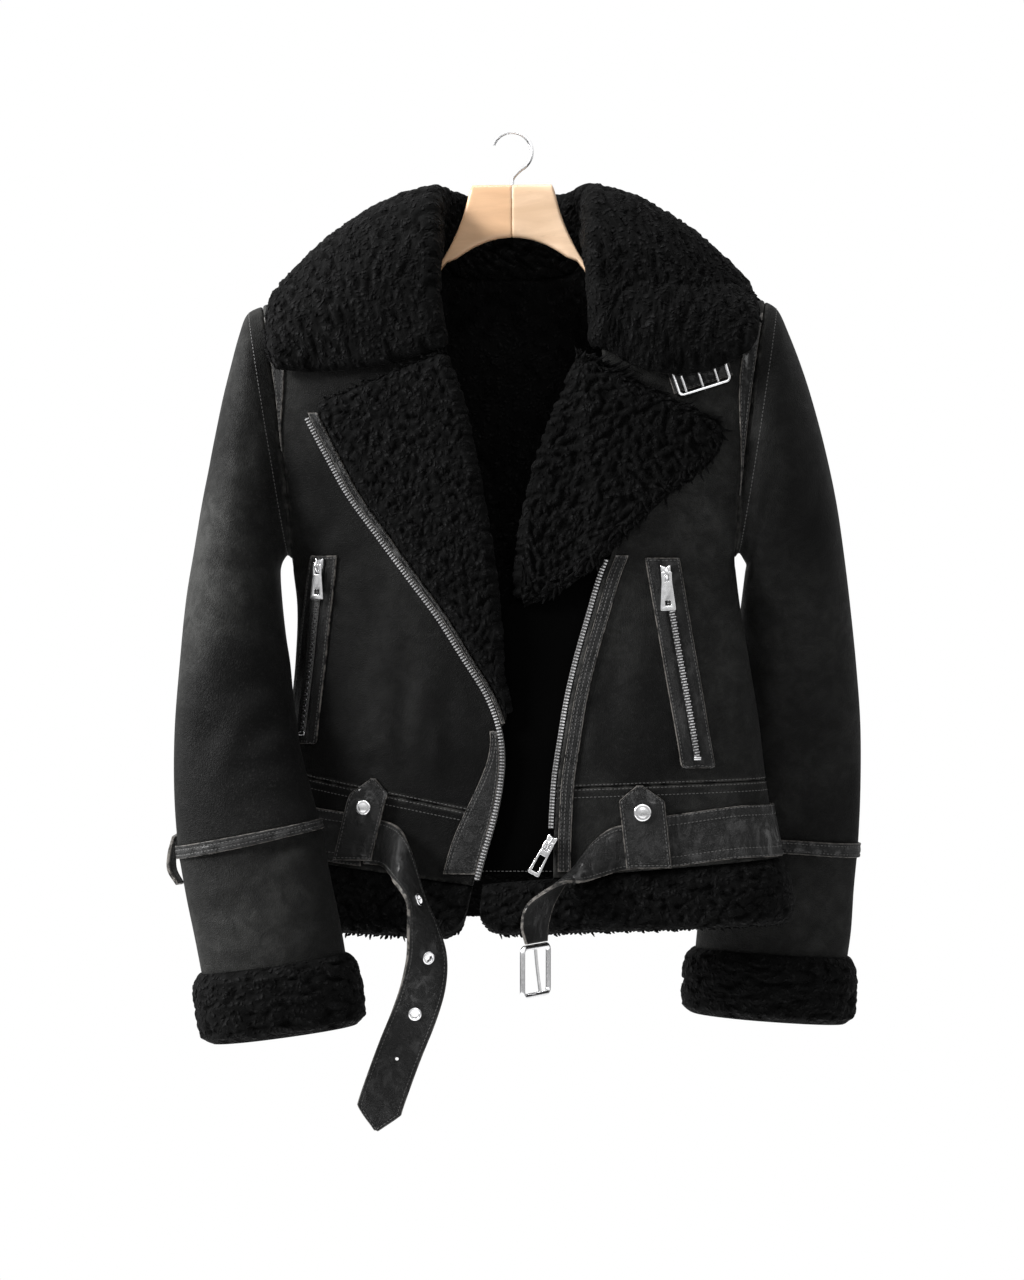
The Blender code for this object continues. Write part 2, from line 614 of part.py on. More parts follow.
def build_hanger():
    """Wooden arms under the shoulders with a raised neck, made in two halves."""
    for name, sign, slot in (("hanger_left", -1, WARM_WOOD), ("hanger_right", 1, PALE_WOOD)):
        x = sign * (column(HANGER_HALF, "x") + SEAM / 2)
        top, foot = column(HANGER_HALF, "top"), column(HANGER_HALF, "foot")
        ring = []
        for y_share, z_share in HANGER_SECTION:
            y = turned(x) + HANGER_THICK / 2 * y_share
            z = (top + foot) / 2 + (top - foot) / 2 * z_share
            ring.append(np.stack([x, y, z], axis=-1))
        prism(name, np.stack(ring, axis=1), slot)


def prism(name, rings, slot):
    """A solid lofted through closed rings of points, with flat ends."""
    count, around = rings.shape[:2]
    index = np.arange(count * around).reshape(count, around)
    index = np.concatenate([index, index[:, :1]], axis=1)
    a, b, c, d = index[:-1, :-1], index[:-1, 1:], index[1:, 1:], index[1:, :-1]
    faces = np.stack([a, b, c, d], axis=-1).reshape(-1, 4).tolist()
    faces += [index[0, -2::-1].tolist(), index[-1, :-1].tolist()]
    mesh = bpy.data.meshes.new(name)
    mesh.from_pydata((rings.reshape(-1, 3) * MM).tolist(), [], faces)
    work = bmesh.new()
    work.from_mesh(mesh)
    bmesh.ops.recalc_face_normals(work, faces=work.faces)
    work.to_mesh(mesh)
    work.free()
    return add_object(name, mesh, slot)


def tube(name, points, radius, slot, cyclic=False, sides=2):
    """A round wire through points, as a curve object with filled caps."""
    data = bpy.data.curves.new(name, "CURVE")
    data.dimensions = "3D"
    data.bevel_depth = radius * MM
    data.bevel_resolution = sides
    data.use_fill_caps = True
    data.resolution_u = 1
    spline = data.splines.new("POLY")
    spline.points.add(len(points) - 1)
    for point, place in zip(spline.points, points):
        point.co = (*(Vector(place) * MM), 1)
    spline.use_cyclic_u = cyclic
    return add_object(name, data, slot)


HOOK_WIRE, HOOK_BEND = 1.7, 17.0


def build_hook():
    """The wire hook: its bend's inside top is the origin, its stem ends just above the wood."""
    middle = -HOOK_BEND + HOOK_WIRE
    bend = [
        (HOOK_BEND * math.cos(a), 0, middle + HOOK_BEND * math.sin(a))
        for a in np.radians(np.linspace(160, -62, 13))
    ]
    stem = [(3.0, 0, -35.0), (0.6, 0, -38.5), (0, 0, -44 + SEAM)]
    tube("hanger_hook", bend + stem, HOOK_WIRE, SILVER)


# ---------------------------------------------------------------- leather strips and zips
def build_armhole_strip(side_name, foot):
    """A leather strip along the armhole seam in front, drawn to a point."""
    sign = -1 if side_name == "left" else 1
    z = np.concatenate([[-159, -167], np.linspace(-176, foot, 9)])
    width = 12.0 * (1 - step(-z, -0.45 * foot + 60, -foot) * 0.97)
    outside = sign * (edge_x(ARMHOLE, z) - 0.8)
    x, zz = ruled((outside - sign * width, z), (outside, z), [0, 0.5, 1])
    on_body("armhole_strip_" + side_name, x, zz, -1, REST, REST + SKIN, LEATHER)


def along(edges, heights, near, far, side, low, high, name, slot, columns=2):
    """A strip beside a named line, between two distances from it in x."""
    z = np.asarray(heights, float)
    x = edge_x(edges, z)
    near = np.broadcast_to(near, z.shape)
    far = np.broadcast_to(far, z.shape)
    share = np.linspace(0, 1, columns)
    grid = (x + near)[:, None] * (1 - share) + (x + far)[:, None] * share
    return on_body(name, grid, np.repeat(z[:, None], columns, axis=1), side, low, high, slot)


CHAIN = 4.5             # width of the closed teeth


def build_front_zips():
    z = np.linspace(-246, -638, 24)
    along(ZIP_LEFT, z, 0.2, CHAIN, -1, REST, REST + 2.6, "zip_chain_left", SILVER)
    z = np.linspace(-242, -506, 16)
    far = STRIP_LEFT * (1 - 0.35 * (np.linspace(0, 1, 16))) - 0.6
    along(ZIP_LEFT, z, CHAIN + 0.5, far, -1, REST, REST + 3.4, "lapel_strip_left", LEATHER)
    z = np.linspace(-512, -633, 9)
    wide = 6.0 + 22.0 * step(-z, 505, 610)
    along(ZIP_LEFT, z, -0.4, -wide, -1, REST, REST + SKIN, "front_facing_left", LEATHER, 3)
    z = np.linspace(-367, -594, 15)
    along(ZIP_RIGHT, z, -0.5 - CHAIN, -0.5, -1, -3.0, 0.6, "zip_chain_right", SILVER)
    z = np.linspace(-364, -630, 16)
    along(ZIP_RIGHT, z, 4.0, 15.0, -1, REST, REST + SKIN, "zip_strip_right", LEATHER, 3)


Pocket = namedtuple("Pocket", "top_x top_z foot_x foot_z half slider_z tab_length")
POCKETS = {
    "left": Pocket(-160, -363, -178, -524, 12.0, -372, 21.5),
    "right": Pocket(126, -366, 157, -543, 14.5, -379, 24.5),
}


def pocket_line(pocket, z):
    return smooth(-z, [-pocket.top_z, -pocket.foot_z], [pocket.top_x, pocket.foot_x])


def build_pocket(side_name):
    """A slanted leather welt with its teeth."""
    pocket = POCKETS[side_name]
    foot = pocket.foot_z
    z = np.linspace(pocket.top_z, foot, 9)
    middle = pocket_line(pocket, z)
    x, zz = ruled((middle - pocket.half, z), (middle + pocket.half, z), [0, 0.25, 0.5, 0.75, 1])
    on_body("pocket_welt_" + side_name, x, zz, -1, REST, REST + SKIN, LEATHER)
    z = np.linspace(pocket.slider_z - 12, foot + 10, 9)
    middle = pocket_line(pocket, z)
    x, zz = ruled((middle - CHAIN / 2, z), (middle + CHAIN / 2, z), [0, 0.5, 1])
    on_body("pocket_chain_" + side_name, x, zz, -1, REST + SKIN + 0.5, REST + SKIN + 2.3, SILVER)


# ---------------------------------------------------------------- sliders and pull tabs
SLIDER_WIDE, SLIDER_TALL, SLIDER_DEEP = 8.5, 14.0, 4.0
BRIDGE_WIRE = 0.8
PIN_OUT = 1.7           # the tab's turning axis, out from the slider's face
BRIDGE_OUT = 4.2
TAB_DEEP = 1.4


def slider_frame(x, z, out, tilt):
    """Place on the torso: X across the zip, Y into the body, Z up the zip."""
    place, normal = body(x, z, -1, out)
    inward = Vector(-normal)
    up = Vector((0, 0, 1))
    up = (up - up.dot(inward) * inward).normalized()
    across = inward.cross(up).normalized()
    turn = Matrix.Rotation(tilt, 3, inward)
    up, across = turn @ up, turn @ across
    frame = Matrix((across, inward, up)).transposed().to_4x4()
    frame.translation = Vector(place) * MM
    return frame


def box(name, size, frame, slot, bevel):
    mesh = bpy.data.meshes.new(name)
    work = bmesh.new()
    bmesh.ops.create_cube(work, size=1)
    bmesh.ops.scale(work, vec=Vector(size) * MM, verts=work.verts)
    work.to_mesh(mesh)
    work.free()
    made = add_object(name, mesh, slot)
    made.matrix_world = frame
    soften = made.modifiers.new("Bevel", "BEVEL")
    soften.width = bevel * MM
    soften.segments = 1
    return made


def build_slider(name, x, z, out, tilt, tab_size, hole):
    """A slider with its bridge, and the pull tab that turns on a bar under the bridge."""
    frame = slider_frame(x, z, out + SLIDER_DEEP / 2, tilt)
    block = box("slider_" + name, (SLIDER_WIDE, SLIDER_DEEP, SLIDER_TALL), frame, SILVER, 1.0)
    face = -SLIDER_DEEP / 2
    path = [
        (0, face + 0.6, 5.0), (0, face - BRIDGE_OUT, 3.2),
        (0, face - BRIDGE_OUT, -3.2), (0, face + 0.6, -5.0),
    ]
    bridge = tube("bridge_" + name, path, BRIDGE_WIRE, SILVER, sides=0)
    bridge.matrix_world = frame
    bpy.data.collections[OBJECT_NAME].objects.unlink(bridge)
    bpy.data.collections["cutters"].objects.link(bridge)
    bridge.hide_render = True
    bridge.display_type = "WIRE"
    solid = bpy.data.meshes.new_from_object(bridge.evaluated_get(bpy.context.evaluated_depsgraph_get()))
    helper = bpy.data.objects.new("bridge_solid_" + name, solid)
    helper.matrix_world = frame
    helper.hide_render = True
    helper.display_type = "WIRE"
    bpy.data.collections["cutters"].objects.link(helper)
    join = block.modifiers.new("Bridge", "BOOLEAN")
    join.operation = "UNION"
    join.solver = "EXACT"
    join.object = helper
    pivot = frame @ Matrix.Translation(Vector((0, face - PIN_OUT, 0)) * MM)
    build_tab("pull_tab_" + name, pivot, tab_size, hole)


def build_tab(name, pivot, size, hole):
    """A flat tab: a window near its bar for the bridge, and a hole near its foot."""
    top, foot, length = size
    outline = [
        (-top / 2, 1.0), (top / 2, 1.0), (top / 2, -8.0), (foot / 2, 3.0 - length),
        (foot / 2 - 2, 1 - length), (2 - foot / 2, 1 - length), (-foot / 2, 3.0 - length),
        (-top / 2, -8.0),
    ]
    window = [(-2.3, -1.0), (2.3, -1.0), (2.3, -7.2), (-2.3, -7.2)]
    high, low, half = hole
    lower = [(-half, high), (half, high), (half, low), (-half, low)]
    data = bpy.data.curves.new(name, "CURVE")
    data.dimensions = "2D"
    data.fill_mode = "BOTH"
    data.extrude = TAB_DEEP / 2 * MM
    for loop in (outline, window, lower):
        spline = data.splines.new("POLY")
        spline.points.add(len(loop) - 1)
        for point, (x, y) in zip(spline.points, loop):
            point.co = (x * MM, y * MM, 0, 1)
        spline.use_cyclic_u = True
    made = add_object(name, data, SILVER)
    made.matrix_world = pivot @ Matrix.Rotation(math.pi / 2, 4, "X")


FRONT_SLIDER_Z, FRONT_SLIDER_TILT = -603.0, math.radians(28)


def build_sliders():
    for side_name, pocket in POCKETS.items():
        x = float(pocket_line(pocket, np.float64(pocket.slider_z)))
        lean = math.atan2(pocket.foot_x - pocket.top_x, pocket.top_z - pocket.foot_z)
        size = (9.0, 13.5, pocket.tab_length + 8)
        hole = (-pocket.tab_length + 1.5, -pocket.tab_length - 3, 2.4)
        build_slider("pocket_" + side_name, x, pocket.slider_z, REST + SKIN + 0.6, -lean * 0.3, size, hole)
    x = float(edge_x(ZIP_RIGHT, FRONT_SLIDER_Z)) - 0.5 - CHAIN / 2
    build_slider("front", x, FRONT_SLIDER_Z - 3, 1.2, FRONT_SLIDER_TILT, (8.5, 11.0, 31.0), (-12, -27, 2.8))


# ---------------------------------------------------------------- belt
BAND_HIGH = 44.0
BAND_ENDS = {"left": -128.0, "right": 108.0}
BAND_FOOT, BAND_SAG = -619.0, 9.0   # the band's lower edge, and how much lower it hangs in front


def build_belt_band():
    """The belt from the right loop round the back to the left loop, over the waistband."""
    front = np.array([0, 0.2, 0.42, 0.62, 0.8, 0.92, 0.985])
    right_end = float(side_x(BAND_FOOT - 1, 1))
    left_end = float(side_x(BAND_FOOT - 1, -1))
    right_x = BAND_ENDS["right"] + front * (right_end - BAND_ENDS["right"])
    left_x = (BAND_ENDS["left"] + front * (left_end - BAND_ENDS["left"]))[::-1]
    half_back = np.array([1, 0.975, 0.9, 0.78, 0.62, 0.4, 0.2, 0])
    back = np.concatenate([half_back, -half_back[-2::-1]])
    back_x = np.where(back > 0, back * right_end, -back * left_end)
    x = np.concatenate([right_x, back_x, left_x])
    side = np.repeat([-1.0, 1.0, -1.0], [len(front), len(back), len(front)])
    foot = BAND_FOOT - np.where(side > 0, 0, BAND_SAG * (1 - step(np.abs(x), 108, 205)))
    share = np.linspace(0, 1, 3)[:, None]
    z = foot + BAND_HIGH * (1 - share)
    on_body("belt_band", x * side_scale(z, x), z, side[None, :], REST, REST + BELT, LEATHER)


def side_scale(z, x):
    """Keeps a band's columns at the same share of the torso's width at every height."""
    sign = np.where(x < 0, -1, 1)
    down = -column(TORSO, "z")
    left, right = column(TORSO, "left"), column(TORSO, "right")
    wide = np.where(sign < 0, smooth(-z, down, left), smooth(-z, down, right))
    base = np.where(sign < 0, smooth(1 - BAND_FOOT, down, left), smooth(1 - BAND_FOOT, down, right))
    near_side = step(np.abs(x) / base, 0.75, 1.0)
    return 1 + near_side * (wide / base - 1)


Span = namedtuple("Span", "x y z wide_x wide_y wide_z width")
BELT_TAIL = [
    Span(-125, None, -606, 0.05, 0, 1, 38), Span(-108, None, -608, 0.12, 0, 1, 38),
    Span(-97, -76, -615, 0.3, 0.4, 0.86, 38), Span(-87, -88, -633, 0.38, 0.86, 0.34, 38),
    Span(-79, -96, -652, 0.34, 0.93, 0.08, 38), Span(-73, -96, -677, 0.66, 0.75, 0, 38),
    Span(-70.5, -93, -700, 0.86, 0.5, -0.04, 38), Span(-74, -90, -725, 0.96, 0.2, -0.14, 38),
    Span(-82, -88, -750, 0.95, 0.05, -0.27, 38), Span(-93, -87, -777, 0.93, 0, -0.34, 38),
    Span(-103, -87, -804, 0.95, 0, -0.31, 38), Span(-111, -88, -828, 0.97, 0, -0.24, 38),
    Span(-113.5, -88.5, -845, 0.97, 0, -0.24, 4),
]
BUCKLE_STRAP = [
    Span(105, None, -609, 0, 0, 1, 38), Span(88, None, -611, -0.04, 0.02, 1, 38),
    Span(68, -78, -619, 0.16, 0.4, 0.9, 38), Span(47, -89, -631, 0.3, 0.9, 0.28, 38),
    Span(25, -98, -652, 0.6, 0.8, 0.05, 38), Span(18.5, -101, -671, 0.58, 0.81, 0, 38),
    Span(19.5, -102, -687, 0.45, 0.89, 0, 38),
]


def laid_on_body(row):
    """Middle and direction of a span that lies on the torso, clear of it over its whole width."""
    reach = row.width / 2 * np.array([row.wide_x, row.wide_z]) / math.hypot(row.wide_x, row.wide_z)
    share = np.array([1, 0.5, 0, -0.5, -1])
    points = body(row.x + share * reach[0], row.z + share * reach[1], -1, REST + BELT / 2)[0]
    line = (points[0, 1] + points[-1, 1]) / 2 + (points[0, 1] - points[-1, 1]) / 2 * share
    middle = (points[0] + points[-1]) / 2
    middle[1] += min(0.0, float((points[:, 1] - line).min())) - 1.5
    return middle, points[0] - points[-1]


def ribbon_lines(spans):
    """Middle, direction across, width and normal along a strap."""
    middle = np.array([[row.x, row.y or 0, row.z] for row in spans], float)
    wide = np.stack([column(spans, "wide_" + axis) for axis in "xyz"], axis=-1)
    for number, row in enumerate(spans):
        if row.y is None:
            middle[number], wide[number] = laid_on_body(row)
    wide /= np.linalg.norm(wide, axis=-1, keepdims=True)
    knots = np.arange(len(spans), dtype=float)
    at = np.linspace(0, knots[-1], 2 * len(spans) - 1)
    middle = np.stack([smooth(at, knots, middle[:, k]) for k in range(3)], axis=-1)
    wide = np.stack([smooth(at, knots, wide[:, k]) for k in range(3)], axis=-1)
    wide /= np.linalg.norm(wide, axis=-1, keepdims=True)
    width = np.interp(at, knots, column(spans, "width"))
    width[-2] = max(width[-2], 0.62 * width[-3])
    normal = np.cross(np.gradient(middle, axis=0), wide)
    normal /= np.linalg.norm(normal, axis=-1, keepdims=True)
    normal *= np.sign(-normal[0, 1])
    return middle, wide, width, normal


def ribbon(name, spans, slot):
    """A strap through spans, each with its own middle, direction across and width."""
    middle, wide, width, normal = ribbon_lines(spans)
    points = middle[:, None] + np.array([0.5, 0, -0.5])[None, :, None] * (width[:, None] * wide)[:, None]
    out = BELT / 2 * normal[:, None]
    shell(name, points + out, points - out, slot)


Loop = namedtuple("Loop", "tip_x tip_z foot_x foot_z width snap_x snap_z snap_wide")
LOOPS = {
    "left": Loop(-117, -551, -134, -622, 32.0, -124, -577, 13.0),
    "right": Loop(107, -556, 115, -627, 38.0, 109, -580, 15.0),
}
OVER_BELT = BELT + 2.0


def build_belt_loop(side_name):
    """A pointed tab over the belt, held by a snap."""
    loop = LOOPS[side_name]
    share = np.array([0.02, 0.1, 0.2, 0.28, 0.36, 0.55, 0.78, 1.0])
    z = loop.tip_z + share * (loop.foot_z - loop.tip_z)
    x = loop.tip_x + share * (loop.foot_x - loop.tip_x)
    half = loop.width / 2 * np.clip(share / 0.2, 0.15, 1)
    across = np.array([-1, -0.5, 0, 0.5, 1])
    grid_x = x[:, None] + half[:, None] * across
    grid_z = np.repeat(z[:, None], len(across), axis=1)
    raised = OVER_BELT * step(-grid_z, 562, 573)
    on_body("belt_loop_" + side_name, grid_x, grid_z, -1, REST + raised, REST + SKIN + raised, LEATHER)
    frame = slider_frame(loop.snap_x, loop.snap_z, REST + OVER_BELT + SKIN + SEAM + 0.1, 0)
    disc("snap_" + side_name, loop.snap_wide / 2, 2.4, frame)


BACK_LOOPS = {"belt_loop_back_left": -112.0, "belt_loop_back_right": 112.0}


def build_back_loops():
    """Plain strips that carry the belt across the back."""
    z = np.array([-568, -573, -579, -600, -617.5])
    raised = (BELT + 0.7) * step(-z, 566, 574)[:, None]
    for name, x in BACK_LOOPS.items():
        across = x + np.array([-9.0, 0, 9.0])
        grid_x = np.repeat(across[None, :], len(z), axis=0)
        grid_z = np.repeat(z[:, None], len(across), axis=1)
        on_body(name, grid_x, grid_z, 1, REST + raised, REST + SKIN + raised, LEATHER)


EYELETS = [4.0, 6.0, 7.9]          # places along the tail's spans
EYELET_RADIUS, EYELET_WIRE = 4.4, 1.1


def build_eyelets():
    """Metal rings on the face of the belt's tail."""
    middle, wide, _, normal = ribbon_lines(BELT_TAIL)
    spot = np.linspace(0, len(BELT_TAIL) - 1, 2 * len(BELT_TAIL) - 1)
    for number, place in enumerate(EYELETS, 1):
        centre, across, out = (
            np.array([np.interp(place, spot, line[:, k]) for k in range(3)])
            for line in (middle, wide, normal)
        )
        across /= np.linalg.norm(across)
        out /= np.linalg.norm(out)
        along_belt = np.cross(out, across)
        angle = np.linspace(0, 2 * math.pi, 10, endpoint=False)
        ring = centre + (BELT / 2 + EYELET_WIRE + 0.35) * out + EYELET_RADIUS * (
            np.cos(angle)[:, None] * across + np.sin(angle)[:, None] * along_belt)
        tube(f"eyelet_{number}", [tuple(p) for p in ring], EYELET_WIRE, SILVER, cyclic=True, sides=0)


def disc(name, radius, deep, frame):
    """A domed snap cap: a profile turned with a Screw modifier, its flat back towards the body."""
    profile = [
        (0, 0), (radius, 0), (radius, 0.4 * deep),
        (0.8 * radius, 0.8 * deep), (0.5 * radius, deep), (0, deep),
    ]
    mesh = bpy.data.meshes.new(name)
    edges = [(i, i + 1) for i in range(len(profile) - 1)]
    mesh.from_pydata([(x * MM, -y * MM, 0) for x, y in profile], edges, [])
    made = add_object(name, mesh, SILVER)
    made.matrix_world = frame
    turn = made.modifiers.new("Screw", "SCREW")
    turn.axis = "Y"
    turn.steps = turn.render_steps = 16
    turn.use_merge_vertices = True
    turn.merge_threshold = 1e-5
    turn.use_normal_calculate = True
    return made


# ---------------------------------------------------------------- buckles
BUCKLE_BAR = Vector((19.5, -102.0, -690.0))
BUCKLE_ACROSS = Vector((0.45, 0.89, 0)).normalized()
BUCKLE_WIRE, PRONG_WIRE = 2.2, 1.3


def rounded_loop(half_wide, top, foot, corner):
    """A rectangle with cut corners, as points across and up."""
    return [
        (-half_wide + corner, top), (half_wide - corner, top), (half_wide, top - corner),
        (half_wide, foot + corner), (half_wide - corner, foot), (-half_wide + corner, foot),
        (-half_wide, foot + corner), (-half_wide, top - corner),
    ]


def build_belt_buckle():
    """The frame and the prong turn on the bar that the strap's end holds."""
    up = Vector((0, 0, 1))
    out = BUCKLE_ACROSS.cross(up).normalized()

    def place(across, height, depth=0.0):
        return BUCKLE_BAR + across * BUCKLE_ACROSS + height * up + depth * out

    loop = [place(a, h) for a, h in rounded_loop(24, 0, -40, 4)]
    tube("belt_buckle_frame", loop, BUCKLE_WIRE, SILVER, cyclic=True)
    start = BUCKLE_WIRE + SEAM
    tube("belt_prong", [place(0, -start), place(0, -20, 1.8), place(0, -38, 4.4)], PRONG_WIRE, SILVER)


THROAT_TILT = math.radians(18)


def build_throat_buckle():
    """The buckle that stays under the right collar, lying on its strap."""
    centre_x, centre_z = 158.0, -211.0

    def place(across, height, out):
        x = centre_x + across * math.cos(THROAT_TILT) - height * math.sin(THROAT_TILT)
        z = centre_z + across * math.sin(THROAT_TILT) + height * math.cos(THROAT_TILT)
        return tuple(body(x, z, -1, out)[0])

    loop = [place(a, h, 4.6) for a, h in rounded_loop(22, 13, -13, 3)]
    tube("throat_buckle", loop, 1.4, SILVER, cyclic=True)
    grid = np.array([[place(a, h, 0) for h in (-10, -3.3, 3.3, 10)] for a in (-26, -17, -8, 1, 10, 19, 26)])
    on_body("throat_strap", grid[..., 0], grid[..., 2], -1, REST, REST + SKIN, LEATHER)


def build_elbow_tab():
    """The strap end that stands off the back of the left elbow."""
    spans = [
        Span(-283.6, -52, -600, 0.3, 0.9, 0.2, 13), Span(-287, -52, -615, 0.35, 0.9, 0.1, 13),
        Span(-287, -53, -629, 0.4, 0.9, 0, 13), Span(-280, -56, -641, 0.4, 0.9, 0, 11),
    ]
    ribbon("elbow_tab_left", spans, LEATHER)


# ---------------------------------------------------------------- main
def clear_scene():
    for made in list(bpy.data.objects):
        bpy.data.objects.remove(made)
    for made in list(bpy.data.collections):
        bpy.data.collections.remove(made)


def main():
    clear_scene()
    collection(OBJECT_NAME)
    collection("cutters", hidden=True)
    build_hanger()
    build_hook()
    build_back()
    for side_name, strip_foot in (("left", -274), ("right", -313)):
        build_front(side_name)
        build_sleeve(side_name)
        build_elbow_band(side_name)
        build_cuff(side_name)
        build_armhole_strip(side_name, strip_foot)
        build_pocket(side_name)
        build_belt_loop(side_name)
    build_waistband_and_hem()
    build_underlap()
    build_lapel_left()
    build_lapel_right()
    build_collar()
    build_front_zips()
    build_sliders()
    build_belt_band()
    build_back_loops()
    build_eyelets()
    ribbon("belt_tail", BELT_TAIL, LEATHER)
    ribbon("belt_buckle_strap", BUCKLE_STRAP, LEATHER)
    build_belt_buckle()
    build_throat_buckle()
    build_elbow_tab()


main()
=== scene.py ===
"""Looks of the shearling biker jacket on its wooden hanger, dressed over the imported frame.

Sizes in the tables are millimetres, in the frame's axes: +Z up, the front towards -Y. MM turns
them into metres where a mesh is made.
"""

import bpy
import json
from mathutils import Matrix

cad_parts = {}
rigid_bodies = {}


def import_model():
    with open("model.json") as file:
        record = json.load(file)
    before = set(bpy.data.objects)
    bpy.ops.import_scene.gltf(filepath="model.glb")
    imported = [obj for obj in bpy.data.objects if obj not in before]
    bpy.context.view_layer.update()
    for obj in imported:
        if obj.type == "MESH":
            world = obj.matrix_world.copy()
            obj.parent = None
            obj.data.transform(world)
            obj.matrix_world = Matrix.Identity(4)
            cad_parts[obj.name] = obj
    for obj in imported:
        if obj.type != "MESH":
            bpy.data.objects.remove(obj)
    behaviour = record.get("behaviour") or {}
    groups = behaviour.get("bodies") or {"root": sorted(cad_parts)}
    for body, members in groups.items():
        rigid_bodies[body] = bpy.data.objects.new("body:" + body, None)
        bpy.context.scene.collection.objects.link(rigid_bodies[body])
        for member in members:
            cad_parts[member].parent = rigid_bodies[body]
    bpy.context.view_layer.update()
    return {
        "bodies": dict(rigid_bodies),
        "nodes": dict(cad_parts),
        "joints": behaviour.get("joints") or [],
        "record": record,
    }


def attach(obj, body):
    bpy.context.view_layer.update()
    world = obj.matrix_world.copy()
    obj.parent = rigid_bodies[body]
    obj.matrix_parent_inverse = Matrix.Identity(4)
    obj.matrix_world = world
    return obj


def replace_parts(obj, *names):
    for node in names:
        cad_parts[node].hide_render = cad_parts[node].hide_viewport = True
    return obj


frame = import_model()

import json
import math
from collections import namedtuple

import bmesh
import bpy
import numpy as np
from mathutils import Matrix, Vector

bl_info = {
    "name": "Shearling biker jacket",
    "version": (1, 0, 0),
    "blender": (4, 5, 0),
    "location": "3D View > Sidebar > Jacket",
    "description": "Dresses the jacket's frame in hide, wool, leather, zips and stitching",
    "category": "Object",
}

MM = 0.001

# ---------------------------------------------------------------- the jacket's sizes
HIDE = 5.0              # sheared sheepskin, wool and skin together
SKIN = 1.8              # single leather: strips, welts and tabs
BELT = 3.0              # doubled belt leather
SEAM = 0.3              # space between two pieces that are sewn together
REST = 0.8              # space under a piece that lies on a curved panel
FUR = 11.0              # collar and lapel, skin and long wool together
TURN = 0.1              # the left side hangs further back than the right
NECK_X, NECK_Z = 68.0, -102.0       # where the shoulder seam meets the neck
TIP_X, TIP_Z = 216.0, -146.0        # end of the shoulder seam
SHOULDER_ROLL = 70.0                # drop over which the shoulder rounds to the front
NECK_ROUND = 25.0                   # softens the shoulder line's peak at the nape
RING_POWER = 2.5                    # a torso ring is a superellipse of this power
BACK_NECK_DROP = 36.0
UNDERARM_Z = -366.0

Ring = namedtuple("Ring", "z left right front back")
TORSO = [
    Ring(-60, 252, 252, 58, 52), Ring(-200, 250, 250, 60, 54), Ring(-260, 243, 243, 61, 55),
    Ring(-300, 227, 227, 62, 56), Ring(-335, 207, 207, 62, 56),
    Ring(-352, 199, 199, 62, 55), Ring(-366, 190, 190, 62, 55), Ring(-376, 189, 191, 62, 55),
    Ring(-401, 186, 194, 61, 54), Ring(-450, 187, 202, 60, 53), Ring(-500, 192, 210, 60, 52),
    Ring(-564, 200, 218, 60, 52), Ring(-624, 208, 229, 61, 53), Ring(-700, 213, 238, 62, 54),
]

Edge = namedtuple("Edge", "x z")
ARMHOLE = [
    Edge(216, -146), Edge(209, -180), Edge(203, -220), Edge(199, -255),
    Edge(194, -300), Edge(191, -335), Edge(190, -366),
]
# Left is the viewer's left. A roll line is where a lapel turns back.
ROLL_LEFT = [
    Edge(-68, -102), Edge(-59, -145), Edge(-50, -190), Edge(-36, -230), Edge(-24, -285),
    Edge(-13, -345), Edge(-5, -405), Edge(-1, -460), Edge(-3, -500), Edge(-12, -518),
    Edge(-10, -535), Edge(-11, -552), Edge(-17, -586), Edge(-27, -621), Edge(-33, -644),
    Edge(-40, -692),
]
ZIP_LEFT = [
    Edge(-179, -240), Edge(-160, -277), Edge(-141, -311), Edge(-116, -346), Edge(-91, -380),
    Edge(-66, -414), Edge(-44, -449), Edge(-23, -483), Edge(-13, -510), Edge(-10, -535),
    Edge(-11, -552), Edge(-17, -586), Edge(-27, -621), Edge(-33, -644),
]
ROLL_RIGHT = [
    Edge(68, -102), Edge(66, -150), Edge(61, -181), Edge(46, -205), Edge(35, -230),
    Edge(24, -256), Edge(15, -282), Edge(7, -315), Edge(0, -349), Edge(-3, -384),
    Edge(-4, -410), Edge(-8, -500), Edge(-28, -634),
]
LAPEL_EDGE_RIGHT = [
    Edge(172, -252), Edge(176, -268), Edge(162, -289), Edge(127, -317), Edge(93, -351),
    Edge(76, -368), Edge(50, -388), Edge(24, -401), Edge(10, -408),
]
ZIP_RIGHT = [
    Edge(68, -102), Edge(73, -125), Edge(75, -180), Edge(80, -250), Edge(86, -320), Edge(84, -361),
    Edge(77, -380), Edge(67, -414), Edge(57, -449), Edge(49, -483), Edge(43, -518),
    Edge(38, -552), Edge(36, -580), Edge(35, -604), Edge(35, -692),
]
Seam = namedtuple("Seam", "side centre")     # heights of a cross seam at side and centre
WAIST = {"left": Seam(-548, -584), "right": Seam(-554, -560), "back": Seam(-551, -551)}
HEM = {"left": Seam(-620, -643), "right": Seam(-620, -636), "back": Seam(-620, -620)}
FOOT = {"left": Seam(-682, -689), "right": Seam(-676, -683), "back": Seam(-677, -677)}

